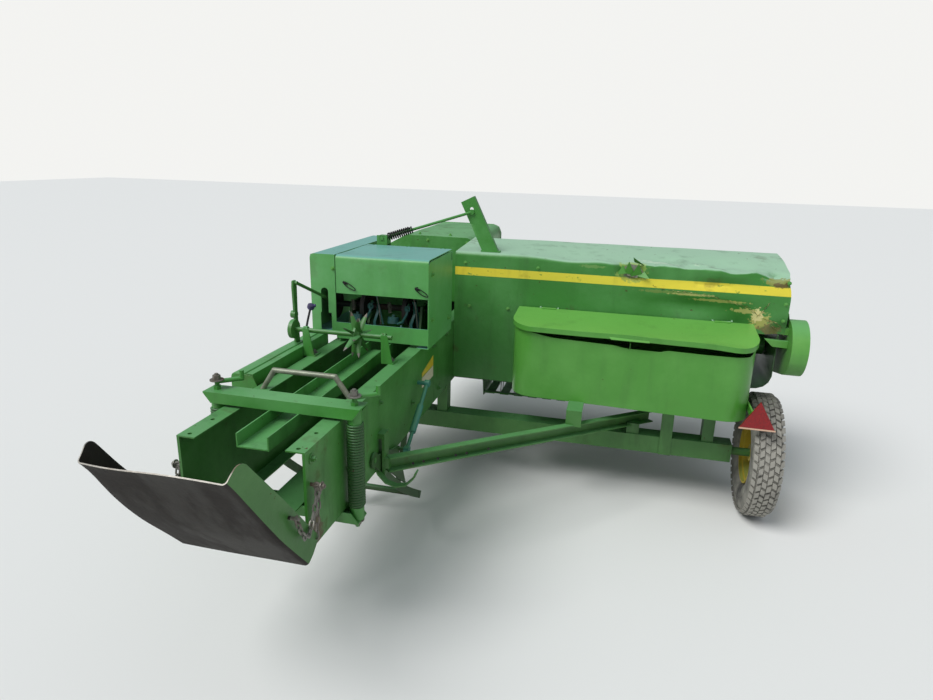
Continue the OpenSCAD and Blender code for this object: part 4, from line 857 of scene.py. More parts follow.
    def ring(
        self, centre: Vector, axis: Vector, radius: float, wire: float, steps: int = 24, sides: int = 8
    ) -> Shape:
        """Add a ring of round wire.

        Args:
            centre: Its middle.
            axis: The direction it faces.
            radius: Radius to the wire's middle, in millimetres.
            wire: The wire's radius, in millimetres.
            steps: Faces round the ring.
            sides: Faces round the wire.

        Returns:
            The shape.
        """
        turns = [math.tau * i / sides for i in range(sides + 1)]
        profile = [(wire * math.sin(a), radius + wire * math.cos(a)) for a in turns]
        return self.lathe(profile, centre, axis, steps)

    def strip(self, spots: Sequence[Vector], wide: Vector, thick: float) -> Shape:
        """Add a flat bar bent through several places.

        Args:
            spots: The places in order.
            wide: Half its width as a movement.
            thick: Its thickness in millimetres.

        Returns:
            The shape.
        """
        known = set(self.bm.faces)
        rows = [[self.bm.verts.new(s + wide * side) for side in (-1, 1)] for s in spots]
        sheet = [
            self.bm.faces.new((a[0], a[1], b[1], b[0])) for a, b in zip(rows, rows[1:])
        ]
        bmesh.ops.recalc_face_normals(self.bm, faces=sheet)
        bmesh.ops.solidify(self.bm, geom=sheet, thickness=thick * MM)
        faces = [f for f in self.bm.faces if f not in known]
        bmesh.ops.recalc_face_normals(self.bm, faces=faces)
        return self

    def paint(self, finish: Finish, chosen: Callable[[Vector, Vector], bool]) -> Shape:
        """Give some faces a finish of their own.

        Args:
            finish: Their finish.
            chosen: Whether a face takes it, from its middle on the drawing and the way it faces.

        Returns:
            The shape.
        """
        self.paints.append(finish)
        start = DATUM.at(0, 0, 0)
        self.bm.normal_update()
        for face in self.bm.faces:
            if chosen((face.calc_center_median() - start) / MM, face.normal):
                face.material_index = len(self.paints)
        return self

    def finish(
        self, name: str, body: str | None, finish: Finish, edge: float = 0.0,
        replaces: Sequence[str] = (), crease: float = 35.0,
    ) -> bpy.types.Object:
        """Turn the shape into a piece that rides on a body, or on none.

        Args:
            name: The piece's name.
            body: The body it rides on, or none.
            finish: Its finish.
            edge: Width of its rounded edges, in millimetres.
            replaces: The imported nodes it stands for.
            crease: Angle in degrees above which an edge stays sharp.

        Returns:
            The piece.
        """
        for face in self.bm.faces:
            face.smooth = True
        for line in self.bm.edges:
            line.smooth = len(line.link_faces) == 2 and line.calc_face_angle(0.0) < math.radians(crease)
        mesh = bpy.data.meshes.new(name)
        self.bm.to_mesh(mesh)
        self.bm.free()
        piece = bpy.data.objects.new(name, mesh)
        bpy.context.scene.collection.objects.link(piece)
        for coat in (finish, *self.paints):
            mesh.materials.append(coat.material())
        if edge:
            bevel = piece.modifiers.new("rounded_edges", "BEVEL")
            bevel.width = edge * MM
            bevel.segments = 2
            bevel.limit_method = "ANGLE"
            bevel.angle_limit = math.radians(crease)
        if body is not None:
            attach(piece, body)
        if replaces:
            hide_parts(*replaces)
        LOG.info("%s: %d faces on %s", name, len(mesh.polygons), body)
        return piece


# Sub-assemblies


@dataclass
class SheetPiece:
    """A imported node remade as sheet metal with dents, ripples and rounded edges."""

    node: str
    body: str
    finish: Finish
    step: float = 60.0
    ripple: float = 1.5
    wave: float = 4.0
    edge: float = 2.0
    dents: Sequence[Dent] = ()
    still: Sequence[Point] = ()
    paints: Sequence[tuple[Finish, Callable[[Vector, Vector], bool]]] = ()

    def build(self) -> bpy.types.Object:
        """Copy the node, cut it up, dent it and put it in the node's place."""
        shape = Shape(self.node).cut_grid(self.step)
        for finish, chosen in self.paints:
            shape.paint(finish, chosen)
        shape.dent(self.dents, self.ripple, self.wave, self.still)
        return shape.finish(self.node + "_sheet", self.body, self.finish, self.edge, [self.node])


@dataclass
class PlainNodes:
    """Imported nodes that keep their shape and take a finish."""

    finishes: dict[str, Finish]

    def build(self) -> None:
        """Give each node its material."""
        for name, finish in self.finishes.items():
            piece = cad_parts[name]
            for slot in piece.material_slots:
                slot.material = finish.material()
            LOG.info("%s: %s", name, finish.value.name)


@dataclass(frozen=True)
class Head:
    """One bolt head: where it sits, the way it points and its width across flats."""

    place: Point
    way: Point
    across: float = 17.0


@dataclass
class Fasteners:
    """Bolt heads with washers on one body."""

    name: str
    body: str
    finish: Finish
    heads: Sequence[Head]

    def build(self) -> None:
        """Set the heads on the sheet."""
        shape = Shape()
        for head in self.heads:
            shape.hexagon(DATUM.at(*head.place), Vector(head.way), head.across, 0.62 * head.across)
        shape.finish(self.name, self.body, self.finish, 0.6)


@dataclass
class Tyre:
    """An implement tyre with slanted tread blocks, and the nuts of its wheel."""

    node: str
    body: str
    middle: float
    out: int
    along: float = 1785.0
    radius: float = 333.5
    half: float = 75.0
    bead: float = 166.0
    tread: float = 8.0
    round_count: int = 46
    columns: Sequence[float] = (-60.0, -37.0, -12.5, 12.5, 37.0, 60.0)
    block: Point = (21.0, 31.0, 12.0)
    slant: float = 0.55
    shoulder_tilt: float = 0.55
    stud_count: int = 5
    stud_circle: float = 68.0

    def hub(self) -> Vector:
        """The wheel's middle."""
        return DATUM.at(self.middle, self.along, self.radius)

    def carcass(self, shape: Shape) -> None:
        """Turn the tyre's body, with a sidewall step and rounded shoulders.

        Args:
            shape: The mesh in the making.
        """
        r0, r1, w = self.bead, self.radius - self.tread, self.half
        right = [
            (w - 28, r0), (w - 27, r0 + 6), (w - 14, r0 + 22), (w - 6, r0 + 44), (w - 1, r0 + 76),
            (w - 3, r0 + 80), (w - 1, r0 + 84), (w - 3, r1 - 46), (w - 9, r1 - 26), (w - 18, r1 - 12),
            (w - 32, r1 - 3), (w - 54, r1),
        ]
        left = [(-along, away) for along, away in reversed(right)]
        shape.lathe([*right, *left, right[0]], self.hub(), Axis.ACROSS.value, 72)

    def blocks(self, shape: Shape) -> None:
        """Set the tread blocks round the tyre, each column slanting the other way.

        Args:
            shape: The mesh in the making.
        """
        pitch = math.tau / self.round_count
        size = Matrix.Diagonal((*(side * MM for side in self.block), 1.0))
        for row, across in enumerate(self.columns):
            skew = Matrix.Identity(4)
            skew[1][0] = self.slant if row % 2 else -self.slant
            edge = abs(across) > 50
            for k in range(self.round_count):
                angle = pitch * (k + 0.5 * (row % 2))
                out = self.radius - (17.0 if edge else 4.0)
                turn = Matrix.Rotation(angle, 4, "X") @ Matrix.Translation(Vector((across, 0, out)) * MM)
                lean = math.copysign(self.shoulder_tilt, across) if edge else 0.0
                tilt = Matrix.Rotation(lean, 4, "Y")
                place = Matrix.Translation(self.hub()) @ turn @ tilt @ skew @ size
                bmesh.ops.create_cube(shape.bm, size=1.0, matrix=place)

    def build(self) -> None:
        """Build the tyre and the wheel's nuts and cap."""
        shape = Shape()
        self.carcass(shape)
        self.blocks(shape)
        shape.finish(self.node + "_treaded", self.body, Finish.RUBBER, 0.0, [self.node], 40.0)
        nuts = Shape()
        face = self.hub() + Vector((self.out * 14.2 * MM, 0, 0))
        way = Vector((self.out, 0, 0))
        for k in range(self.stud_count):
            angle = math.tau * k / self.stud_count
            off = Vector((0, math.cos(angle), math.sin(angle))) * self.stud_circle * MM
            nuts.hexagon(face + off, way, 20.0, 14.0, False)
        nuts.lathe([(34, 0), (34, 30), (44, 30), (52, 22), (56, 0)], self.hub(), way, 24)
        nuts.rod(face + Vector((0, 0, 0.135)), face + Vector((self.out * 0.03, 0, 0.14)), 4.0, 8)
        nuts.finish(self.node + "_wheel_nuts", self.body, Finish.YELLOW, 0.5)


@dataclass
class Springs:
    """The two tension springs, wound round their rods."""

    x: float = 283.0
    y: float = 308.0
    low: float = 563.0
    high: float = 902.0
    radius: float = 29.0
    wire: float = 4.9
    turns: float = 31.0

    def build(self) -> None:
        """Wind both springs and seat them on their washers."""
        shape = Shape()
        for side in (-1, 1):
            foot = DATUM.at(side * self.x, self.y, self.low)
            shape.coil(foot, Axis.UP.value, self.radius, self.wire, self.turns, self.high - self.low)
        shape.finish("spring_coils", "machine", Finish.DARK, 0.0, ["tension_springs"], 60.0)


@dataclass
class TwineBox:
    """The twine box: a folded sheet tank with round rear corners, open on top, with a divider inside."""

    left: float = 638.0
    right: float = 1876.0
    rear_left: float = 1570.0
    rear_right: float = 1534.0
    wall: float = 1875.0
    corner: float = 124.0
    low: float = 604.0
    low_right: float = 592.0
    crown_rear: float = 1003.0
    crown_wall: float = 1035.0
    crown_from: float = 1545.0
    crown_to: float = 1861.0
    sheet: float = 3.0
    columns: int = 26
    sag: Sequence[Pair] = (
        (630, 986), (760, 964), (850, 947), (1182, 936), (1236, 924), (1412, 924), (1420, 936), (1623, 933),
        (1772, 934), (1880, 934),
    )
    dents: Sequence[Dent] = (
        Dent((1290, 1552, 945), (120, 60, 34), (0, 12, 0)),
        Dent((980, 1560, 760), (220, 60, 160), (0, 4, 0)),
        Dent((1560, 1545, 700), (200, 60, 130), (0, -4, 0)),
    )

    def rear(self, x: float) -> float:
        """The rear face's place at a distance across."""
        wide = self.right - self.left
        return self.rear_left + (self.rear_right - self.rear_left) * (x - self.left) / wide

    def crown(self, y: float) -> float:
        """Height of the lid's top at a distance along."""
        deep = self.crown_to - self.crown_from
        return self.crown_rear + (self.crown_wall - self.crown_rear) * (y - self.crown_from) / deep

    def plan(self, side: float = 0.0, over: float = 0.0, wall: float | None = None) -> list[Pair]:
        """The outline seen from above, from the house round both corners and back.

        Args:
            side: How far it is grown at its ends.
            over: How far it is grown at its rear.
            wall: Where it ends at the house, if not at the box's own place.

        Returns:
            Places in millimetres.
        """
        end = self.wall if wall is None else wall
        spots = []
        first, last = self.left + self.corner, self.right - self.corner
        for middle, start in ((first, 180), (last, 270)):
            deep = self.rear(middle) + self.corner
            for k in range(11):
                turn = math.radians(start + 9 * k)
                across = middle + (self.corner + side) * math.cos(turn)
                spots.append((across, deep + (self.corner + over) * math.sin(turn)))
            if middle == first:
                between = [first + (last - first) * k / self.columns for k in range(1, self.columns)]
                spots += [(x, self.rear(x) - over) for x in between]
        low_left, low_right = spots[0], spots[-1]
        left = [(self.left - side, end + (low_left[1] - end) * k / 5) for k in range(5)]
        right = [(self.right + side, low_right[1] + (end - low_right[1]) * k / 5) for k in range(1, 6)]
        return [*left, *spots, *right]

    def floor_at(self, x: float, y: float) -> float:
        """Height of the bottom, which sags towards the right end."""
        return self.low + (self.low_right - self.low) * (x - self.left) / (self.right - self.left)

    def rim_at(self, x: float, y: float) -> float:
        """Height of the rim: just under the lid, and lower along the rear, where the wall has sagged from it."""
        rear = max(0.0, min(1.0, (1640 - y) / 60))
        for (x0, z0), (x1, z1) in zip(self.sag, self.sag[1:]):
            if x0 <= x <= x1:
                low = z0 + (z1 - z0) * (x - x0) / (x1 - x0)
                return (self.crown(y) - 9) * (1 - rear) + low * rear
        return self.crown(y) - 9

    def build(self) -> None:
        """Build the tank, its divider and the reflector's bracket."""
        box = Shape().tank(self.plan(), self.floor_at, self.rim_at, 12, self.sheet)
        box.dent(self.dents, 1.0, 3.0)
        x = (self.left + self.right) / 2
        y = self.rear(x) + 4
        top = self.crown(self.wall) - 50
        end = self.wall - 4
        outline = [(y, self.low), (end, self.low), (end, top), (y, self.crown(y) - 50)]
        box.flat([DATUM.at(x, *spot) for spot in outline], Vector((4 * MM, 0, 0)))
        box.block((self.right - 3, 1500, 634), (self.right + 6, 1757, 674))
        box.block((1874, 1500, 624), (1936, 1506, 684))
        box.finish("twine_box_sheet", "machine", Finish.BOX, 1.4, ["twine_box"])


@dataclass
class TwineLid:
    """The box's sloping lid, with a lip that overhangs the rear, a flared grab and its hinge knuckles."""

    box: TwineBox
    side: float = 9.0
    over: float = 25.0
    back: float = 1861.0
    lip: float = 27.0
    hinge_y: float = 1865.0
    hinge_z: float = 1032.3
    hinges: Sequence[float] = (800.0, 1730.0)
    bore: float = 3.6
    dents: Sequence[Dent] = (
        Dent((1250, 1530, 990), (110, 60, 40), (0, -3, 5)),
        Dent((1830, 1540, 990), (130, 90, 60), (0, 0, -14)),
        Dent((1560, 1700, 1020), (240, 120, 50), (0, 0, -5)),
        Dent((900, 1720, 1020), (220, 110, 50), (0, 0, -4)),
    )

    def top_at(self, x: float, y: float) -> float:
        """Height of the lid's top."""
        return self.box.crown(y)

    def lip_at(self, x: float, y: float) -> float:
        """Height of the lip's lower edge."""
        return self.box.crown(y) - self.lip

    def build(self) -> None:
        """Build the lid, its grab, its rolled back edge and its knuckles."""
        lid = Shape().tank(self.box.plan(self.side, self.over, self.back), self.top_at, self.lip_at, 2, 2.5)
        lid.cut_grid(44.0).dent(self.dents, 1.2, 3.0)
        y = self.box.rear(1250) - self.over
        z = self.box.crown(y) - self.lip
        grab = [(1150, y + 1, z + 14), (1350, y + 1, z + 14), (1352, y - 13, z + 3), (1162, y - 9, z + 4)]
        lid.flat(placed(grab), Vector((0, 0, -2.4 * MM)))
        edge = self.box.crown(self.back) - 5
        lid.bar((self.box.left - 6, self.back, edge), (self.box.right + 6, self.back, edge), 5.0, 10)
        knuckle = [(-40, self.bore), (-40, 6), (40, 6), (40, self.bore), (-40, self.bore)]
        y, z = self.hinge_y, self.hinge_z
        for x in self.hinges:
            lid.lathe(knuckle, DATUM.at(x, y, z), Axis.ACROSS.value, 24)
            lid.block((x - 40, y - 22, z - 5), (x + 40, y - 5.5, z + 5))
        lid.finish("twine_lid_sheet", "lid", Finish.BOX, 1.4, ["twine_lid"])


def scatter(count: int, salt: float = 0.0) -> float:
    """A fixed number from 0 to 1 for each count.

    Args:
        count: Which one.
        salt: A second number that changes the series.

    Returns:
        The number.
    """
    return math.sin(count * 12.9898 + salt * 78.233) * 43758.5453 % 1.0


@dataclass
class Creases:
    """Lines along which the house's sheet was scraped: small curled flakes of bare metal on the folds."""

    lines: Sequence[tuple[int, Sequence[Pair]]] = (
        (26, ((1353, 1198), (1559, 1177), (1726, 1150), (1846, 1120))),
        (22, ((1846, 1120), (1905, 1082), (1951, 1058), (1983, 1024), (2040, 982))),
        (12, ((1954, 1160), (1930, 1116), (1905, 1078))),
        (10, ((1951, 1062), (1990, 1050), (2028, 1018))),
    )

    def spot(self, x: float, z: float) -> Vector:
        """A place on the dented wall.

        Args:
            x: Distance across, in millimetres.
            z: Height, in millimetres.

        Returns:
            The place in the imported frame.
        """
        flat = DATUM.at(x, 1876.5, z)
        return flat + sum((dent.moved(flat) for dent in HOUSE_DENTS), Vector())

    def build(self) -> None:
        """Set the flakes along each line."""
        shape = Shape()
        for line, (count, places) in enumerate(self.lines):
            for k in range(count):
                share = (k + 0.7 * scatter(k, line)) / count * (len(places) - 1)
                a, b = places[int(share)], places[int(share) + 1]
                part = share % 1.0
                x = a[0] + (b[0] - a[0]) * part
                z = a[1] + (b[1] - a[1]) * part + 9 * (scatter(k, line + 3.1) - 0.5)
                long = 9 + 22 * scatter(k, line + 5.7)
                run = Vector((b[0] - a[0], 0, b[1] - a[1])).normalized()
                start, end = self.spot(x, z), self.spot(x + run.x * long, z + run.z * long)
                rise = 3 + 5 * scatter(k, line + 9.3)
                tip = (start + end) / 2 + Vector((0, -rise, rise * (1.6 * scatter(k, line + 2.2) - 0.4))) * MM
                shape.flat([start, end, tip], Vector((0, 1.2 * MM, -1.2 * MM)))
        shape.finish("crease_flakes", "machine", Finish.SCRAPED)


@dataclass
class RodSpring:
    """The lift rod from the cover to the lever, with its coil spring, collars, eye and ear."""

    foot: Point = (-131.0, 1704.0, 1400.0)
    head: Point = (322.0, 1913.0, 1546.0)
    ear: float = 1672.0

    def build(self) -> None:
        """Build the rod and the coil round its lower end."""
        foot, head = DATUM.at(*self.foot), DATUM.at(*self.head)
        way = (head - foot).normalized()
        rod = Shape().rod(foot, head, 8.0, 16)
        rod.rod(head - Vector((0, 8 * MM, 0)), head + Vector((0, 8 * MM, 0)), 15.0, 20)
        x, _, z = self.foot
        rod.block((x - 18, self.ear, z - 18), (x + 18, self.foot[1] + 12, z + 18))
        rod.block((x - 30, self.ear, z - 130), (x + 30, self.ear + 6, z + 18))
        rod.bar((x, self.ear, z), (x, self.ear - 3, z), 9.0, 16)
        rod.finish("lift_rod", "machine", Finish.GREEN, 0.8, ["spring_rod"])
        coil = Shape().coil(foot + way * 34 * MM, way, 19.0, 4.2, 10, 122)
        for along in (24, 160):
            coil.rod(foot + way * along * MM, foot + way * (along + 6) * MM, 21.0, 20)
        coil.finish("lift_rod_spring", "machine", Finish.BLACK)


@dataclass
class LooseChains:
    """The chute's two chains, each slack from a shackle on the wall to a pin on the wing, with a loose end."""

    wall: float = 240.0
    links: Sequence[Sequence[Point]] = (
        ((268, 26, 782), (266, 4, 716), (268, -44, 652), (276, -92, 668), (280, -130, 724), (282, -152, 778)),
        ((266, 36, 782), (262, 34, 714), (260, 24, 650), (260, 18, 606)),
    )
    long: float = 36.0
    wide: float = 22.0
    wire: float = 3.7

    def link(self, shape: Shape, middle: Vector, way: Vector, turned: bool) -> None:
        """Add one oval link.

        Args:
            shape: The mesh in the making.
            middle: The link's middle.
            way: The direction it lies along.
            turned: Whether it is turned a quarter against its neighbours.
        """
        face = way.cross(Axis.ACROSS.value).normalized()
        if turned:
            face = way.cross(face).normalized()
        known = set(shape.bm.verts)
        shape.ring(middle, face, self.wide / 2 - self.wire, self.wire, 14, 6)
        for vert in shape.bm.verts:
            if vert not in known:
                along = (vert.co - middle).dot(way)
                vert.co += way * math.copysign((self.long - self.wide) / 2 * MM, along)

    def run(self, shape: Shape, path: Sequence[Vector]) -> None:
        """Set links along a path.

        Args:
            shape: The mesh in the making.
            path: The places it hangs through.
        """
        pitch = (self.long - 2.4 * self.wire) * MM
        left, count = pitch / 2, 0
        for a, b in zip(path, path[1:]):
            way = (b - a).normalized()
            while left < (b - a).length:
                self.link(shape, a + way * left, way, count % 2 == 1)
                left, count = left + pitch, count + 1
            left -= (b - a).length

    def build(self) -> None:
        """Build both chains with their shackles; the hooked ones ride on no body and are baked in place."""
        hooked, shape = Shape(), Shape()
        for side in (-1, 1):
            for chain, path in zip((hooked, shape), self.links):
                self.run(chain, [DATUM.at(side * x, y, z) for x, y, z in path])
            shape.bar((side * self.wall, 30, 790), (side * (self.wall + 44), 30, 790), 6.5, 14)
            shape.hexagon(DATUM.at(side * (self.wall + 40), 30, 790), Vector((side, 0, 0)), 17, 9)
            shape.ring(DATUM.at(side * (self.wall + 27), 26, 788), Vector((0.2 * side, 1, 0)), 13, 4.5)
        shape.finish("loose_chains", "machine", Finish.CHAIN, 0.0, ["chute_chains"])
        piece = hooked.finish("hooked_chains", None, Finish.CHAIN)
        start, end = tuple(DATUM.at(0, 20, 700)), tuple(DATUM.at(0, -150, 700))
        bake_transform(piece)


@dataclass
class KnotterParts:
    """Twine fingers, discs and guides seen through the knotter's opening."""

    shaft_y: float = 1420.0
    shaft_z: float = 1075.0
    rows: Sequence[float] = (-100.0, 100.0)

    def build(self) -> None:
        """Build each knotter's finger, twine disc, wiper arm and guide wires."""
        castings, wires = Shape(), Shape()
        for x in self.rows:
            y, z = self.shaft_y, self.shaft_z
            finger = [
                (x + 34, y - 60, z + 40), (x + 40, y - 86, z + 34), (x + 36, y - 104, z - 6),
                (x + 14, y - 104, z - 48), (x - 16, y - 96, z - 62),
            ]
            castings.bent(finger, 6.5, 10)
            arm = [
                (x + 62, y - 50, z + 26), (x + 70, y - 82, z - 8), (x + 56, y - 96, z - 60),
                (x + 60, y - 92, z - 104),
            ]
            castings.strip(placed(arm), Vector((7 * MM, 0, 0)), 5.0)
            castings.bar((x - 44, y - 84, z - 64), (x - 44, y - 78, z - 30), 30.0, 20)
            castings.bar((x - 44, y - 90, z - 64), (x - 44, y - 76, z - 20), 9.0, 12)
            castings.hexagon(DATUM.at(x + 38, y - 98, z + 22), -Axis.ALONG.value, 17, 11)
            bill = [(x + 6, y - 96, z - 70), (x + 2, y - 112, z - 92), (x - 22, y - 116, z - 96)]
            castings.bar(bill[0], bill[1], 8.0, 12, 5.0).bar(bill[1], bill[2], 5.0, 10, 2.0)
            guide = [(x + 66, y - 78, z + 74), (x + 80, y - 90, z + 28), (x + 90, y - 88, z - 72)]
            wires.bent(guide, 3.0, 8)
            wires.coil(DATUM.at(x - 70, y - 70, z + 44), Vector((0.2, -0.3, -1)), 9.0, 2.0, 8, 56)
        castings.bent([(-37, 1340, 1148), (-23, 1340, 1102), (3, 1330, 1004)], 4.0, 8)
        guide = placed([(161, 1360, 1128), (176, 1362, 1060), (183, 1360, 986)])
        castings.strip(guide, Vector((9 * MM, 0, 0)), 4.0)
        castings.finish("knotter_fingers", "machine", Finish.TEAL, 0.0)
        wires.finish("knotter_wires", "machine", Finish.CHAIN)


@dataclass
class StarPoints:
    """The bale meter's star wheel: splayed leaf-like points on a hub."""

    centre: Point = (6.0, 985.0, 1038.0)
    reach: float = 114.0
    root: float = 26.0
    points: int = 12
    lean: float = 0.26

    def build(self) -> None:
        """Build the leaves, their pale tips and the hub."""
        leaves, tips = Shape(), Shape()
        hub = DATUM.at(*self.centre)
        flat = Matrix.Diagonal((1.0, 0.3, 1.0, 1.0))
        cones = (
            (leaves, self.root, 0.8 * self.reach, 20.0, 9.0),
            (tips, 0.78 * self.reach, self.reach, 9.4, 0.6),
        )
        for k in range(self.points):
            splay = self.lean * (1 if k % 2 else -1)
            turn = Matrix.Rotation(math.tau * k / self.points, 4, "X") @ Matrix.Rotation(splay, 4, "Y")
            for shape, a, b, wide, end in cones:
                place = Matrix.Translation(Vector((0, 0, (a + b) / 2 * MM)))
                bmesh.ops.create_cone(
                    shape.bm, cap_ends=True, segments=8, radius1=wide * MM, radius2=end * MM,
                    depth=(b - a) * MM, matrix=Matrix.Translation(hub) @ turn @ place @ flat,
                )
        profile = [
            (-18, 12), (-18, 24), (-11, 30), (-5, 48), (5, 48), (11, 30), (18, 24), (18, 12), (-18, 12),
        ]
        leaves.lathe(profile, hub, Axis.ACROSS.value, 32)
        _, y, z = self.centre
        leaves.bar((-312, y, z), (178, y, z), 11.0, 16)
        leaves.bar((-330, y, z), (-311, y, z), 46.0, 32)
        leaves.finish("star_leaves", "star_wheel", Finish.FRAME, 0.0, ["star_wheel"])
        tips.finish("star_tips", "star_wheel", Finish.CHAIN)


@dataclass
class HoodLatches:
    """Two latches on the hood's front, each a dark clip with a loose oval wire loop."""

    clips: Sequence[Point] = ((-158.0, 1233.0, 1228.0), (222.0, 1233.0, 1222.0))
    long: float = 76.0
    wide: float = 9.0

    def build(self) -> None:
        """Build the clips, their loops and the worn arcs above them."""
        shape = Shape()
        for x, y, z in self.clips:
            shape.hexagon(DATUM.at(x, y, z), -Axis.ALONG.value, 13, 9)
            shape.bent([(x - 11, y - 5, z + 8), (x, y - 7, z), (x + 13, y - 5, z - 4)], 3.2, 8)
            drop = Vector((0.87, 0, -0.5))
            side = Vector((0.5, 0, 0.87))
            loop = []
            for k in range(19):
                turn = math.tau * k / 18
                off = drop * (self.long * 0.5 * (1 + math.cos(turn)) - 12) + side * self.wide * math.sin(turn)
                loop.append((x + off.x, y - 9, z + off.z))
            shape.bent(loop, 2.3, 8)
            arc = [(x + 16 * math.sin(t / 3), y, z + 12 + 12 * math.cos(t / 3)) for t in range(-3, 4)]
            shape.bent(arc, 1.5, 6)
        shape.finish("hood_latches", "hood", Finish.BLACK, 0.0)


@dataclass
class BlankSign:
    """The worn plate on the chamber's right wall, yellow above and pale below, with nothing on it."""

    rear: float = 1250.0
    front: float = 1444.0
    wall: float = 240.0

    def build(self) -> None:
        """Build the plate's two fields."""
        fields = (
            ("sign_top", 765.0, 824.0, 38.0, Finish.YELLOW),
            ("sign_field", 705.0, 766.0, 6.0, Finish.LABEL),
        )
        for name, low, high, worn, finish in fields:
            corners = [(self.rear, low), (self.front, low + 4), (self.front, high), (self.rear, high - worn)]
            outline = [DATUM.at(self.wall + 0.4, y, z) for y, z in corners]
            Shape().flat(outline, Vector((1.6 * MM, 0, 0))).finish(name, "machine", finish)


@dataclass
class ReflectorFace:
    """The pale rim along the red triangle's lower edge."""

    node: str = "reflector"

    def build(self) -> None:
        """Build the rim as a thin folded band."""
        low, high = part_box(self.node)
        y, z = low.y - 0.6 * MM, low.z + 4 * MM
        shape = Shape().strip([Vector((low.x, y, z)), Vector((high.x, y, z))], Vector((0, 0, 4 * MM)), 1.6)
        shape.finish("reflector_rim", "machine", Finish.RIM_WHITE)


@dataclass
class TornSkin:
    """Jagged sheet round the tear in the feeder house."""

    shards: Sequence[tuple[Point, Point, Point]] = (
        ((1196, 1872, 1262), (1256, 1870, 1250), (1216, 1846, 1330)),
        ((1228, 1866, 1246), (1290, 1872, 1262), (1268, 1848, 1322)),
        ((1184, 1874, 1306), (1214, 1872, 1262), (1160, 1862, 1256)),
        ((1244, 1886, 1322), (1304, 1888, 1304), (1236, 1856, 1352)),
        ((1262, 1872, 1250), (1300, 1876, 1276), (1330, 1860, 1240)),
    )
    crack: Sequence[Point] = (
        (1186, 1874, 1290), (1214, 1872, 1248), (1262, 1871, 1238), (1296, 1874, 1270), (1274, 1878, 1304),
        (1222, 1878, 1312),
    )

    def build(self) -> None:
        """Build the shards and the opening behind them."""
        shape = Shape()
        for corners in self.shards:
            spots = placed(corners)
            tip = spots[2]
            base = (spots[0] + spots[1]) / 2
            bend = base + (tip - base) * 0.55 + Vector((0, -7 * MM, 0))
            side = (spots[1] - spots[0]) * 0.24
            shape.flat([spots[0], spots[1], bend + side, tip, bend - side], Vector((0, 1.6 * MM, 0)))
        shape.finish("torn_shards", "machine", Finish.SHIELD)
        hole = Shape()
        hole.flat(placed(self.crack), Vector((0, 1.2 * MM, 0)))
        hole.finish("torn_opening", "machine", Finish.GREY)


@dataclass
class DriveDetails:
    """Bolts and covers of the gearbox, rim and spokes of the flywheel, splines, and the drive cover's hem."""

    axis_z: float = 775.0
    box_front: float = 3250.0
    wheel_rear: float = 3310.0

    def build_gearbox(self) -> None:
        """Set the gearbox's bolts, its side covers and its filler plug."""
        shape = Shape()
        for x in (-122, 122):
            for z in (-102, 102):
                shape.hexagon(DATUM.at(x, self.box_front, self.axis_z + z), Axis.ALONG.value, 19, 11)
        for side in (-1, 1):
            way = Vector((side, 0, 0))
            shape.bar((150 * side, 3150, self.axis_z), (157 * side, 3150, self.axis_z), 72.0, 32)
            for k in range(6):
                turn = math.tau * k / 6
                spot = DATUM.at(157 * side, 3150 + 58 * math.cos(turn), self.axis_z + 58 * math.sin(turn))
                shape.hexagon(spot, way, 15, 9, False)
        shape.hexagon(DATUM.at(60, 3160, self.axis_z + 130), Axis.UP.value, 27, 14)
        shape.finish("gearbox_bolts", "machine", Finish.DARK, 0.8)

    def build_flywheel(self) -> None:
        """Build the flywheel's spokes and rim, and the input shaft's splines with two bolts."""
        wheel, bright = Shape(), Shape()
        hub = DATUM.at(0, self.wheel_rear, self.axis_z)
        for k in range(6):
            turn = math.tau * k / 6
            out = Vector((math.cos(turn), 0, math.sin(turn)))
            near, far = hub + out * 56 * MM, hub + out * 198 * MM
            rib = Vector((-out.z, 0, out.x)) * 9 * MM
            outline = [near - rib * 1.6, far - rib, far + rib, near + rib * 1.6]
            wheel.flat([spot + Vector((0, 13 * MM, 0)) for spot in outline], Vector((0, 22 * MM, 0)))
        wheel.lathe([(59, 210), (63, 213), (63, 236), (59, 239), (59, 210)], hub, Axis.ALONG.value, 64)
        wheel.finish("flywheel_spokes", "flywheel", Finish.FRAME, 1.2)
        for k in range(6):
            turn = math.tau * k / 6 + 0.3
            out = Vector((math.cos(turn), 0, math.sin(turn)))
            start, end = (hub + (out * 17.2 + Vector((0, along, 0))) * MM for along in (96, 196))
            bright.rod(start, end, 2.2, 8)
        for k in range(2):
            spot = hub + Vector(((-1) ** k * 42 * MM, 80 * MM, 0))
            bright.hexagon(spot, Axis.ALONG.value, 17, 10)
        bright.finish("input_splines", "flywheel", Finish.STEEL, 0.4)

    def build_cover(self) -> None:
        """Run a folded hem round the drive cover's front and bolt its foot and top."""
        hem = Shape()
        spots = [
            (239, 930), (239, 1285), (221, 1327), (180, 1344), (-222, 1344), (-337, 1282), (-337, 1165),
            (-239, 1085), (-239, 930),
        ]
        hem.bent([(x, 3248, z) for x, z in spots], 4.5, 8)
        hem.finish("drive_cover_hem", "machine", Finish.GREEN)
        heads = Shape()
        for y in (2440, 2700, 2960, 3200):
            heads.hexagon(DATUM.at(240.6, y, 946), Axis.ACROSS.value, 13, 8)
            heads.hexagon(DATUM.at(-240.6, y, 946), -Axis.ACROSS.value, 13, 8)
        for x in (-150, 60):
            heads.hexagon(DATUM.at(x, 2420, 1346), Axis.UP.value, 13, 8)
        heads.finish("drive_cover_bolts", "machine", Finish.SHIELD, 0.5)

    def build(self) -> None:
        """Build the details of the drive."""
        self.build_gearbox()
        self.build_flywheel()
        self.build_cover()


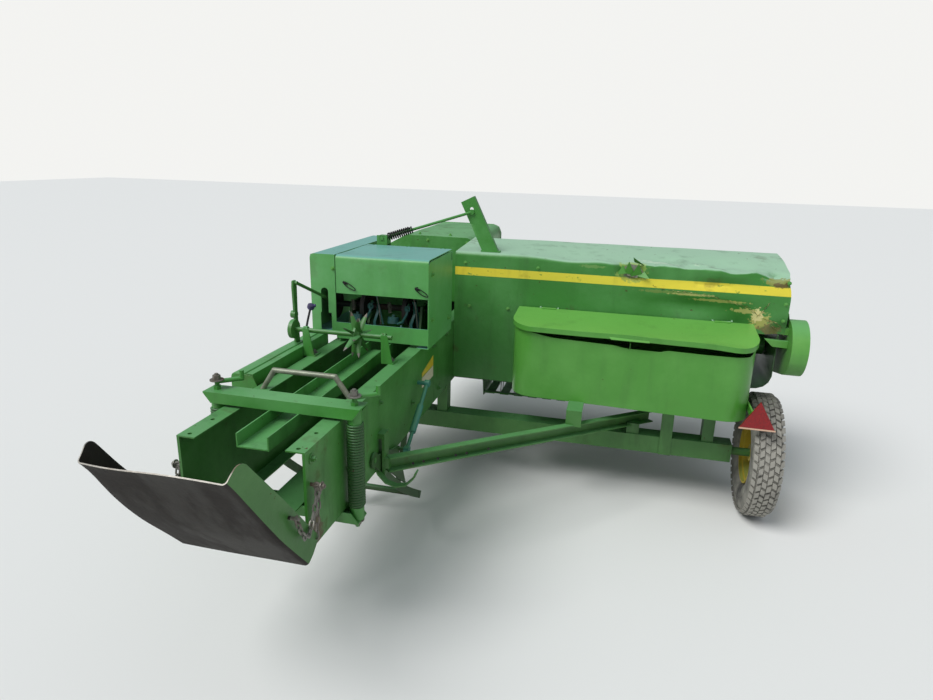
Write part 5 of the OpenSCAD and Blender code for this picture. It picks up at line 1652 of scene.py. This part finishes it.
@dataclass
class DrawbarDetails:
    """The jack's crank and foot rings, and the drawbar's bolts, gusset and ringed pin."""

    jack: Point = (201.0, 3910.0, 627.0)
    crank_arm: float = 118.0

    def build(self) -> None:
        """Build the crank and rings on the jack, then what stands on the drawbar."""
        x, y, z = self.jack
        far = x + self.crank_arm
        cap = [(-24, 0), (-24, 30), (-16, 33), (4, 33), (10, 26), (14, 0)]
        crank = Shape().lathe(cap, DATUM.at(x, y, z), Axis.UP.value, 28)
        crank.bent([(x, y, z + 12), (x, y, z + 34), (far, y, z + 34), (far, y, z + 52)], 7.0, 12)
        crank.bar((far, y, z + 46), (far, y, z + 132), 12.0, 16, 10.0)
        for k in range(5):
            crank.ring(DATUM.at(x, y, 18 + 5 * k), Axis.UP.value, 31 - 0.5 * k, 2.4, 28)
        crank.finish("jack_crank", "jack", Finish.RUSTY)
        bar = Shape()
        for side, at in ((-1, 74.6), (1, 165.4)):
            for along in (3120, 3200, 4180, 4220):
                bar.hexagon(DATUM.at(at, along, 462), Vector((side, 0, 0)), 24, 14)
        bar.flat(placed([(165, 3790, 462), (165, 3878, 462), (190, 3878, 462)]), Vector((0, 0, 8 * MM)))
        bar.bar((236, 3910, 462), (256, 3910, 462), 7.0, 14)
        bar.ring(DATUM.at(252, 3910, 446), Axis.ALONG.value, 15, 2.4)
        for k in (-1, 1):
            bar.hexagon(DATUM.at(120 + 26 * k, 4262, 503), Axis.UP.value, 19, 11)
        bar.finish("drawbar_bolts", "tongue", Finish.STEEL, 0.6)


@dataclass
class Fittings:
    """The brace's strap and black discs of painted shade in its holes, the shield's arm, and the meter's knuckle
    with its rod.
    """

    arm: Sequence[Pair] = ((1950, 962), (2066, 958), (2066, 920), (1990, 924))
    strap: Sequence[Point] = (
        (230, 622, 574), (246, 620, 536), (282, 618, 500), (330, 616, 488), (376, 618, 500),
        (410, 620, 536), (424, 622, 570),
    )
    holes: Sequence[float] = (376, 412, 462, 526, 566, 650)

    def build(self) -> None:
        """Build the strap, black discs of painted shade in the holes, the arm, the knuckle and its rod."""
        strap = Shape().strip(placed(self.strap), Vector((0, 16 * MM, 0)), 7.0)
        strap.finish("brace_strap", "machine", Finish.FRAME, 1.0)
        # Black discs in the brace's holes: painted shade inside them.
        holes = Shape()
        for x in self.holes:
            share = (x - 298) / (1420 - 298)
            y, z = 650 + 1236 * share - 35, 571 - 123 * share
            holes.bar((x, y, z), (x, y + 3, z), 6.0, 12)
        holes.finish("brace_hole_shade", "machine", Finish.BLACK)
        arm = Shape().flat([DATUM.at(x, 1876.4, z) for x, z in self.arm], Vector((0, -26 * MM, 0)))
        arm.finish("shield_arm", "machine", Finish.SHIELD, 1.5)
        knuckle = Shape()
        profile = [(-14, 0), (-14, 15), (-6, 19), (10, 17), (14, 10), (14, 0)]
        knuckle.lathe(profile, DATUM.at(-311, 1150, 1113), Vector((0.3, -0.2, 1)), 16)
        knuckle.bar((-326, 1150, 1113), (-290, 1160, 1117), 8.0, 12)
        knuckle.finish("cast_knuckle", "machine", Finish.VIOLET, 1.0)
        rod = Shape().bent([(-312, 1146, 1106), (-318, 1124, 1050), (-316, 1100, 1012)], 5.5)
        rod.finish("knuckle_rod", "machine", Finish.BLACK)


@dataclass
class Studio:
    """Pale floor, soft lamps and the camera."""

    eye: Point = (1194.658, -1743.638, 1863.147)
    yaw: float = 13.5816
    pitch: float = 16.8252
    roll: float = -1.4522
    lens: float = 25.027
    floor_size: float = 60.0
    floor_colour: Colour = (0.80, 0.80, 0.78)

    def build_camera(self) -> None:
        """Place the camera at the photograph's viewing angle."""
        yaw, pitch, roll = (math.radians(a) for a in (self.yaw, self.pitch, self.roll))
        ahead = Vector((-math.sin(yaw) * math.cos(pitch), math.cos(yaw) * math.cos(pitch), -math.sin(pitch)))
        level = Vector((math.cos(yaw), math.sin(yaw), 0.0))
        down = ahead.cross(level)
        right = level * math.cos(roll) + down * math.sin(roll)
        low = down * math.cos(roll) - level * math.sin(roll)
        data = bpy.data.cameras.new("view")
        data.sensor_width, data.sensor_fit, data.lens = 36.0, "HORIZONTAL", self.lens
        data.clip_start, data.clip_end = 0.05, 200.0
        camera = bpy.data.objects.new("view", data)
        turn = Matrix((right, -low, -ahead)).transposed().to_4x4()
        camera.matrix_world = Matrix.Translation(DATUM.at(*self.eye)) @ turn
        bpy.context.scene.collection.objects.link(camera)
        bpy.context.scene.camera = camera

    def build_lamps(self) -> None:
        """Hang a broad key lamp and a weaker one opposite, under an even sky."""
        for name, power, angle, way in (
            ("key", 2.35, 34.0, (0.52, 0.62, -1.0)),
            ("side", 0.12, 70.0, (-0.9, 0.4, -0.6)),
        ):
            data = bpy.data.lights.new(name, "SUN")
            data.energy, data.angle = power, math.radians(angle)
            lamp = bpy.data.objects.new(name, data)
            lamp.rotation_mode = "QUATERNION"
            lamp.rotation_quaternion = Vector(way).to_track_quat("-Z", "Y")
            bpy.context.scene.collection.objects.link(lamp)
        world = bpy.data.worlds.new("studio")
        world.use_nodes = True
        nodes, links = world.node_tree.nodes, world.node_tree.links
        nodes.clear()
        rays = nodes.new("ShaderNodeLightPath")
        seen = nodes.new("ShaderNodeMath")
        seen.operation, seen.use_clamp = "ADD", True
        links.new(rays.outputs["Is Camera Ray"], seen.inputs[0])
        links.new(rays.outputs["Is Transmission Ray"], seen.inputs[1])
        fill, back = nodes.new("ShaderNodeBackground"), nodes.new("ShaderNodeBackground")
        fill.inputs[0].default_value, fill.inputs[1].default_value = (0.86, 0.93, 1.0, 1.0), 0.42
        back.inputs[0].default_value, back.inputs[1].default_value = (0.9, 0.9, 0.88, 1.0), 1.0
        mix, out = nodes.new("ShaderNodeMixShader"), nodes.new("ShaderNodeOutputWorld")
        links.new(seen.outputs[0], mix.inputs[0])
        links.new(fill.outputs[0], mix.inputs[1])
        links.new(back.outputs[0], mix.inputs[2])
        links.new(mix.outputs[0], out.inputs[0])
        bpy.context.scene.world = world

    def build_floor(self) -> None:
        """Lay the floor, which isn't part of the machine."""
        mesh = bpy.data.meshes.new("floor")
        bm = bmesh.new()
        bmesh.ops.create_grid(bm, x_segments=1, y_segments=1, size=self.floor_size / 2)
        bm.to_mesh(mesh)
        bm.free()
        floor = bpy.data.objects.new("floor", mesh)
        bpy.context.scene.collection.objects.link(floor)
        sheet = NodeSheet("floor")
        mesh.materials.append(sheet.skin(self.floor_colour, 0.9, None))

    def build(self) -> None:
        """Build the camera, the lamps and the floor."""
        bpy.context.scene.view_settings.view_transform = "Standard"
        self.build_camera()
        self.build_lamps()
        self.build_floor()


HOUSE_DENTS = (
    Dent((1240, 1880, 1288), (46, 60, 42), (0, 34, -14)),
    Dent((1180, 1900, 1322), (80, 110, 40), (0, 0, -16)),
    Dent((1310, 1905, 1325), (90, 110, 40), (0, -6, 12)),
    Dent((900, 1960, 1340), (150, 140, 60), (0, 0, -22)),
    Dent((1430, 1980, 1340), (170, 100, 60), (0, 10, -28)),
    Dent((1570, 1945, 1335), (100, 110, 50), (0, 0, 14)),
    Dent((1730, 2000, 1335), (160, 120, 60), (0, 6, -32)),
    Dent((1965, 1900, 1320), (75, 65, 50), (-4, 26, -32)),
    Dent((2045, 1890, 1290), (36, 60, 60), (-16, 10, -14)),
    Dent((2040, 1990, 1335), (150, 130, 60), (0, 0, -26)),
    Dent((1640, 1900, 1326), (420, 34, 30), (0, 10, -10)),
    Dent((1500, 1877, 1290), (110, 30, 22), (0, 9, 0)),
    Dent((1905, 1877, 1296), (60, 30, 26), (0, 14, -4)),
    Dent((1500, 1877, 1182), (150, 30, 20), (0, -2, 0)),
    Dent((1700, 1877, 1152), (140, 30, 22), (0, -3, 0)),
    Dent((1970, 1877, 1045), (44, 30, 46), (0, -12, 0)),
    Dent((1650, 1877, 1232), (240, 30, 30), (0, 22, 0)),
    Dent((1560, 1877, 1100), (230, 30, 46), (0, 30, 0)),
    Dent((1820, 1877, 1026), (110, 30, 60), (0, 30, 0)),
    Dent((2015, 1877, 1000), (46, 40, 56), (0, 20, 6)),
    Dent((760, 1877, 1110), (190, 30, 110), (0, 9, 0)),
    Dent((420, 1877, 900), (120, 30, 190), (0, 7, 0)),
    *(
        Dent(
            (1170 + 58 * k, 1894 + 16 * (k % 3), 1330), (30, 44, 34),
            (0, 8 * (-1) ** k, 9 * (-1) ** (k // 2)),
        )
        for k in range(15)
    ),
    *(
        Dent((1390 + 90 * k, 1960 + 30 * (k % 2), 1336), (46, 30, 40), (0, 0, 9 * (-1) ** k))
        for k in range(7)
    ),
)
CHUTE_DENTS = (
    *(
        Dent((0, -443 + 51.4 * k, 1013 - 61.3 * k), (600, 60, 60), (0, 0.766 * deep, 0.643 * deep))
        for k, deep in enumerate((26, 21, 15, 9, 4))
    ),
    Dent((-60, -225, 775), (170, 200, 200), (0, -12, -10)),
    Dent((-268, -430, 1030), (70, 150, 150), (22, 4, 0)),
    Dent((268, -420, 1050), (60, 150, 150), (-10, 0, 0)),
    Dent((-110, -440, 1020), (120, 70, 70), (0, -5, -4)),
)
HOOD_DENTS = (
    Dent((60, 1234, 1250), (160, 30, 60), (0, 4, 0)),
    Dent((-60, 1400, 1367), (140, 120, 30), (0, 0, -7)),
)
FLANGE_HEADS = tuple(
    Head((240.5, y, z), (1, 0, 0), across)
    for y, z, across in (
        (44, 878, 20), (670, 843, 15), (1093, 687, 15), (330, 700, 13), (1440, 880, 17), (1700, 880, 17),
        (1560, 600, 17),
    )
)
HOUSE_HEADS = tuple(
    Head((x, 1876.6, z), (0, -1, 0), 11)
    for x, z in (
        (722, 1258), (560, 1010), (330, 1010), (300, 1262), (2030, 1262), (2030, 1150), (2030, 1060),
    )
)
COVER_HEADS = (
    Head((-225, 1233.6, 1297), (0, -1, 0), 12),
    Head((-73, 2349.6, 1316), (0, -1, 0), 12),
    Head((191, 2349.6, 1311), (0, -1, 0), 12),
    Head((278.4, 1290, 1290), (1, 0, 0), 14),
    Head((278.4, 1290, 1060), (1, 0, 0), 14),
    Head((278.4, 1600, 1000), (1, 0, 0), 14),
)
CROSS_HEADS = tuple(
    Head((x, 308, z), (0, 0, way), 28) for z, way in ((1009, 1), (503, -1)) for x in (283, -283)
)
BRACKET_HEADS = (Head((-225, 1000, 923.6), (0, 0, 1), 18), Head((168, 1000, 923.6), (0, 0, 1), 18))

LID_PINS = ((800, 1865, 1032.3), (1730, 1865, 1032.3))
TONGUE_PIN = (120, 2960, 455)
AUGER_END = (2068, 2180, 850)


def build_order() -> list[object]:
    """The machine's sub-assemblies in the order they are dressed.

    Returns:
        Objects with a build method.
    """
    box = TwineBox()
    tilt = Vector((0, -math.cos(math.radians(50)), math.sin(math.radians(50))))
    return [
        PlainNodes(
            {
                "tension_rail": Finish.GREEN,
                "tension_cranks": Finish.GREEN,
                "hand_rail": Finish.GREY,
                "knotter_frame": Finish.DARK,
                "knotter_gears": Finish.IRON,
                "meter_brackets": Finish.GREEN,
                "trip_arm": Finish.FRAME,
                "auger": Finish.GREEN,
                "rim_right": Finish.YELLOW,
                "rim_left": Finish.YELLOW,
                "needle_yoke": Finish.DARK,
                "needle_link": Finish.SLEEVE,
                "pickup_frame": Finish.FRAME,
                "pickup_bands": Finish.GREEN,
                "pickup_reel": Finish.STEEL,
                "gauge_wheel": Finish.STEEL,
                "flywheel": Finish.FRAME,
                "gearbox": Finish.DARK,
                "plunger": Finish.IRON,
                "jack_leg": Finish.STEEL,
                "reflector": Finish.REFLECTOR,
            }
        ),
        SheetPiece("bale_case", "machine", Finish.WALL, 120.0, 0.8, still=[TONGUE_PIN]),
        SheetPiece("crossbars", "machine", Finish.GREEN, 60.0, 0.8),
        SheetPiece("side_shelf", "machine", Finish.GREEN, 60.0, 1.5),
        SheetPiece(
            "bale_chute", "chute", Finish.CHUTE, 30.0, 3.0, 3.0, 1.2, CHUTE_DENTS,
            paints=(
                (Finish.FRAME, lambda spot, way: spot.x > 244 and way.x > 0.8),
                # Faces along the top edge that turn up and to the rear take a painted highlight.
                (Finish.BRIGHT, lambda spot, way: way.dot(tilt) > 0.7 and spot.z > 900),
                (Finish.CHAIN, lambda spot, way: abs(spot.x) > 264),
            ),
        ),
        SheetPiece("knotter_cover", "machine", Finish.COVER, 50.0, 0.4),
        SheetPiece("knotter_hood", "hood", Finish.COVER, 35.0, 0.4, dents=HOOD_DENTS),
        SheetPiece(
            "feeder_house", "machine", Finish.HOUSING, 26.0, 2.5, dents=HOUSE_DENTS, still=LID_PINS
        ),
        SheetPiece("feeder_pan", "machine", Finish.DARK, 90.0, 0.3),
        SheetPiece("drive_shield", "machine", Finish.SHIELD, 60.0, 0.8, still=[AUGER_END]),
        box,
        TwineLid(box),
        Creases(),
        KnotterParts(),
        RodSpring(),
        LooseChains(),
        Springs(),
        SheetPiece("axle_beam", "machine", Finish.FRAME, 120.0, 0.5),
        SheetPiece("frame_brace", "machine", Finish.FRAME, 90.0, 0.6),
        SheetPiece("drive_cover", "machine", Finish.GREEN, 80.0, 2.0),
        SheetPiece("lift_lever", "machine", Finish.GREEN, 60.0, 0.6),
        SheetPiece("tongue", "tongue", Finish.GREEN, 120.0, 0.0),
        Tyre("tyre_right", "wheel_right", 1985.0, 1),
        Tyre("tyre_left", "wheel_left", -455.0, -1),
        StarPoints(),
        HoodLatches(),
        BlankSign(),
        ReflectorFace(),
        TornSkin(),
        DriveDetails(),
        DrawbarDetails(),
        Fittings(),
        Fasteners("wall_bolts", "machine", Finish.FRAME, FLANGE_HEADS),
        Fasteners("house_bolts", "machine", Finish.SHIELD, HOUSE_HEADS),
        Fasteners("cover_bolts", "machine", Finish.SHIELD, COVER_HEADS),
        Fasteners("crossbar_nuts", "machine", Finish.CHAIN, CROSS_HEADS),
        Fasteners("bracket_bolts", "machine", Finish.CHAIN, BRACKET_HEADS),
    ]


def main() -> None:
    """Dress the machine and report each piece."""
    logging.basicConfig(level=logging.INFO, format="%(name)s: %(message)s")
    noise.seed_set(NOISE_SEED)
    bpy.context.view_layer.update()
    Studio().build()
    for part in build_order():
        part.build()


if __name__ == "__main__":
    main()
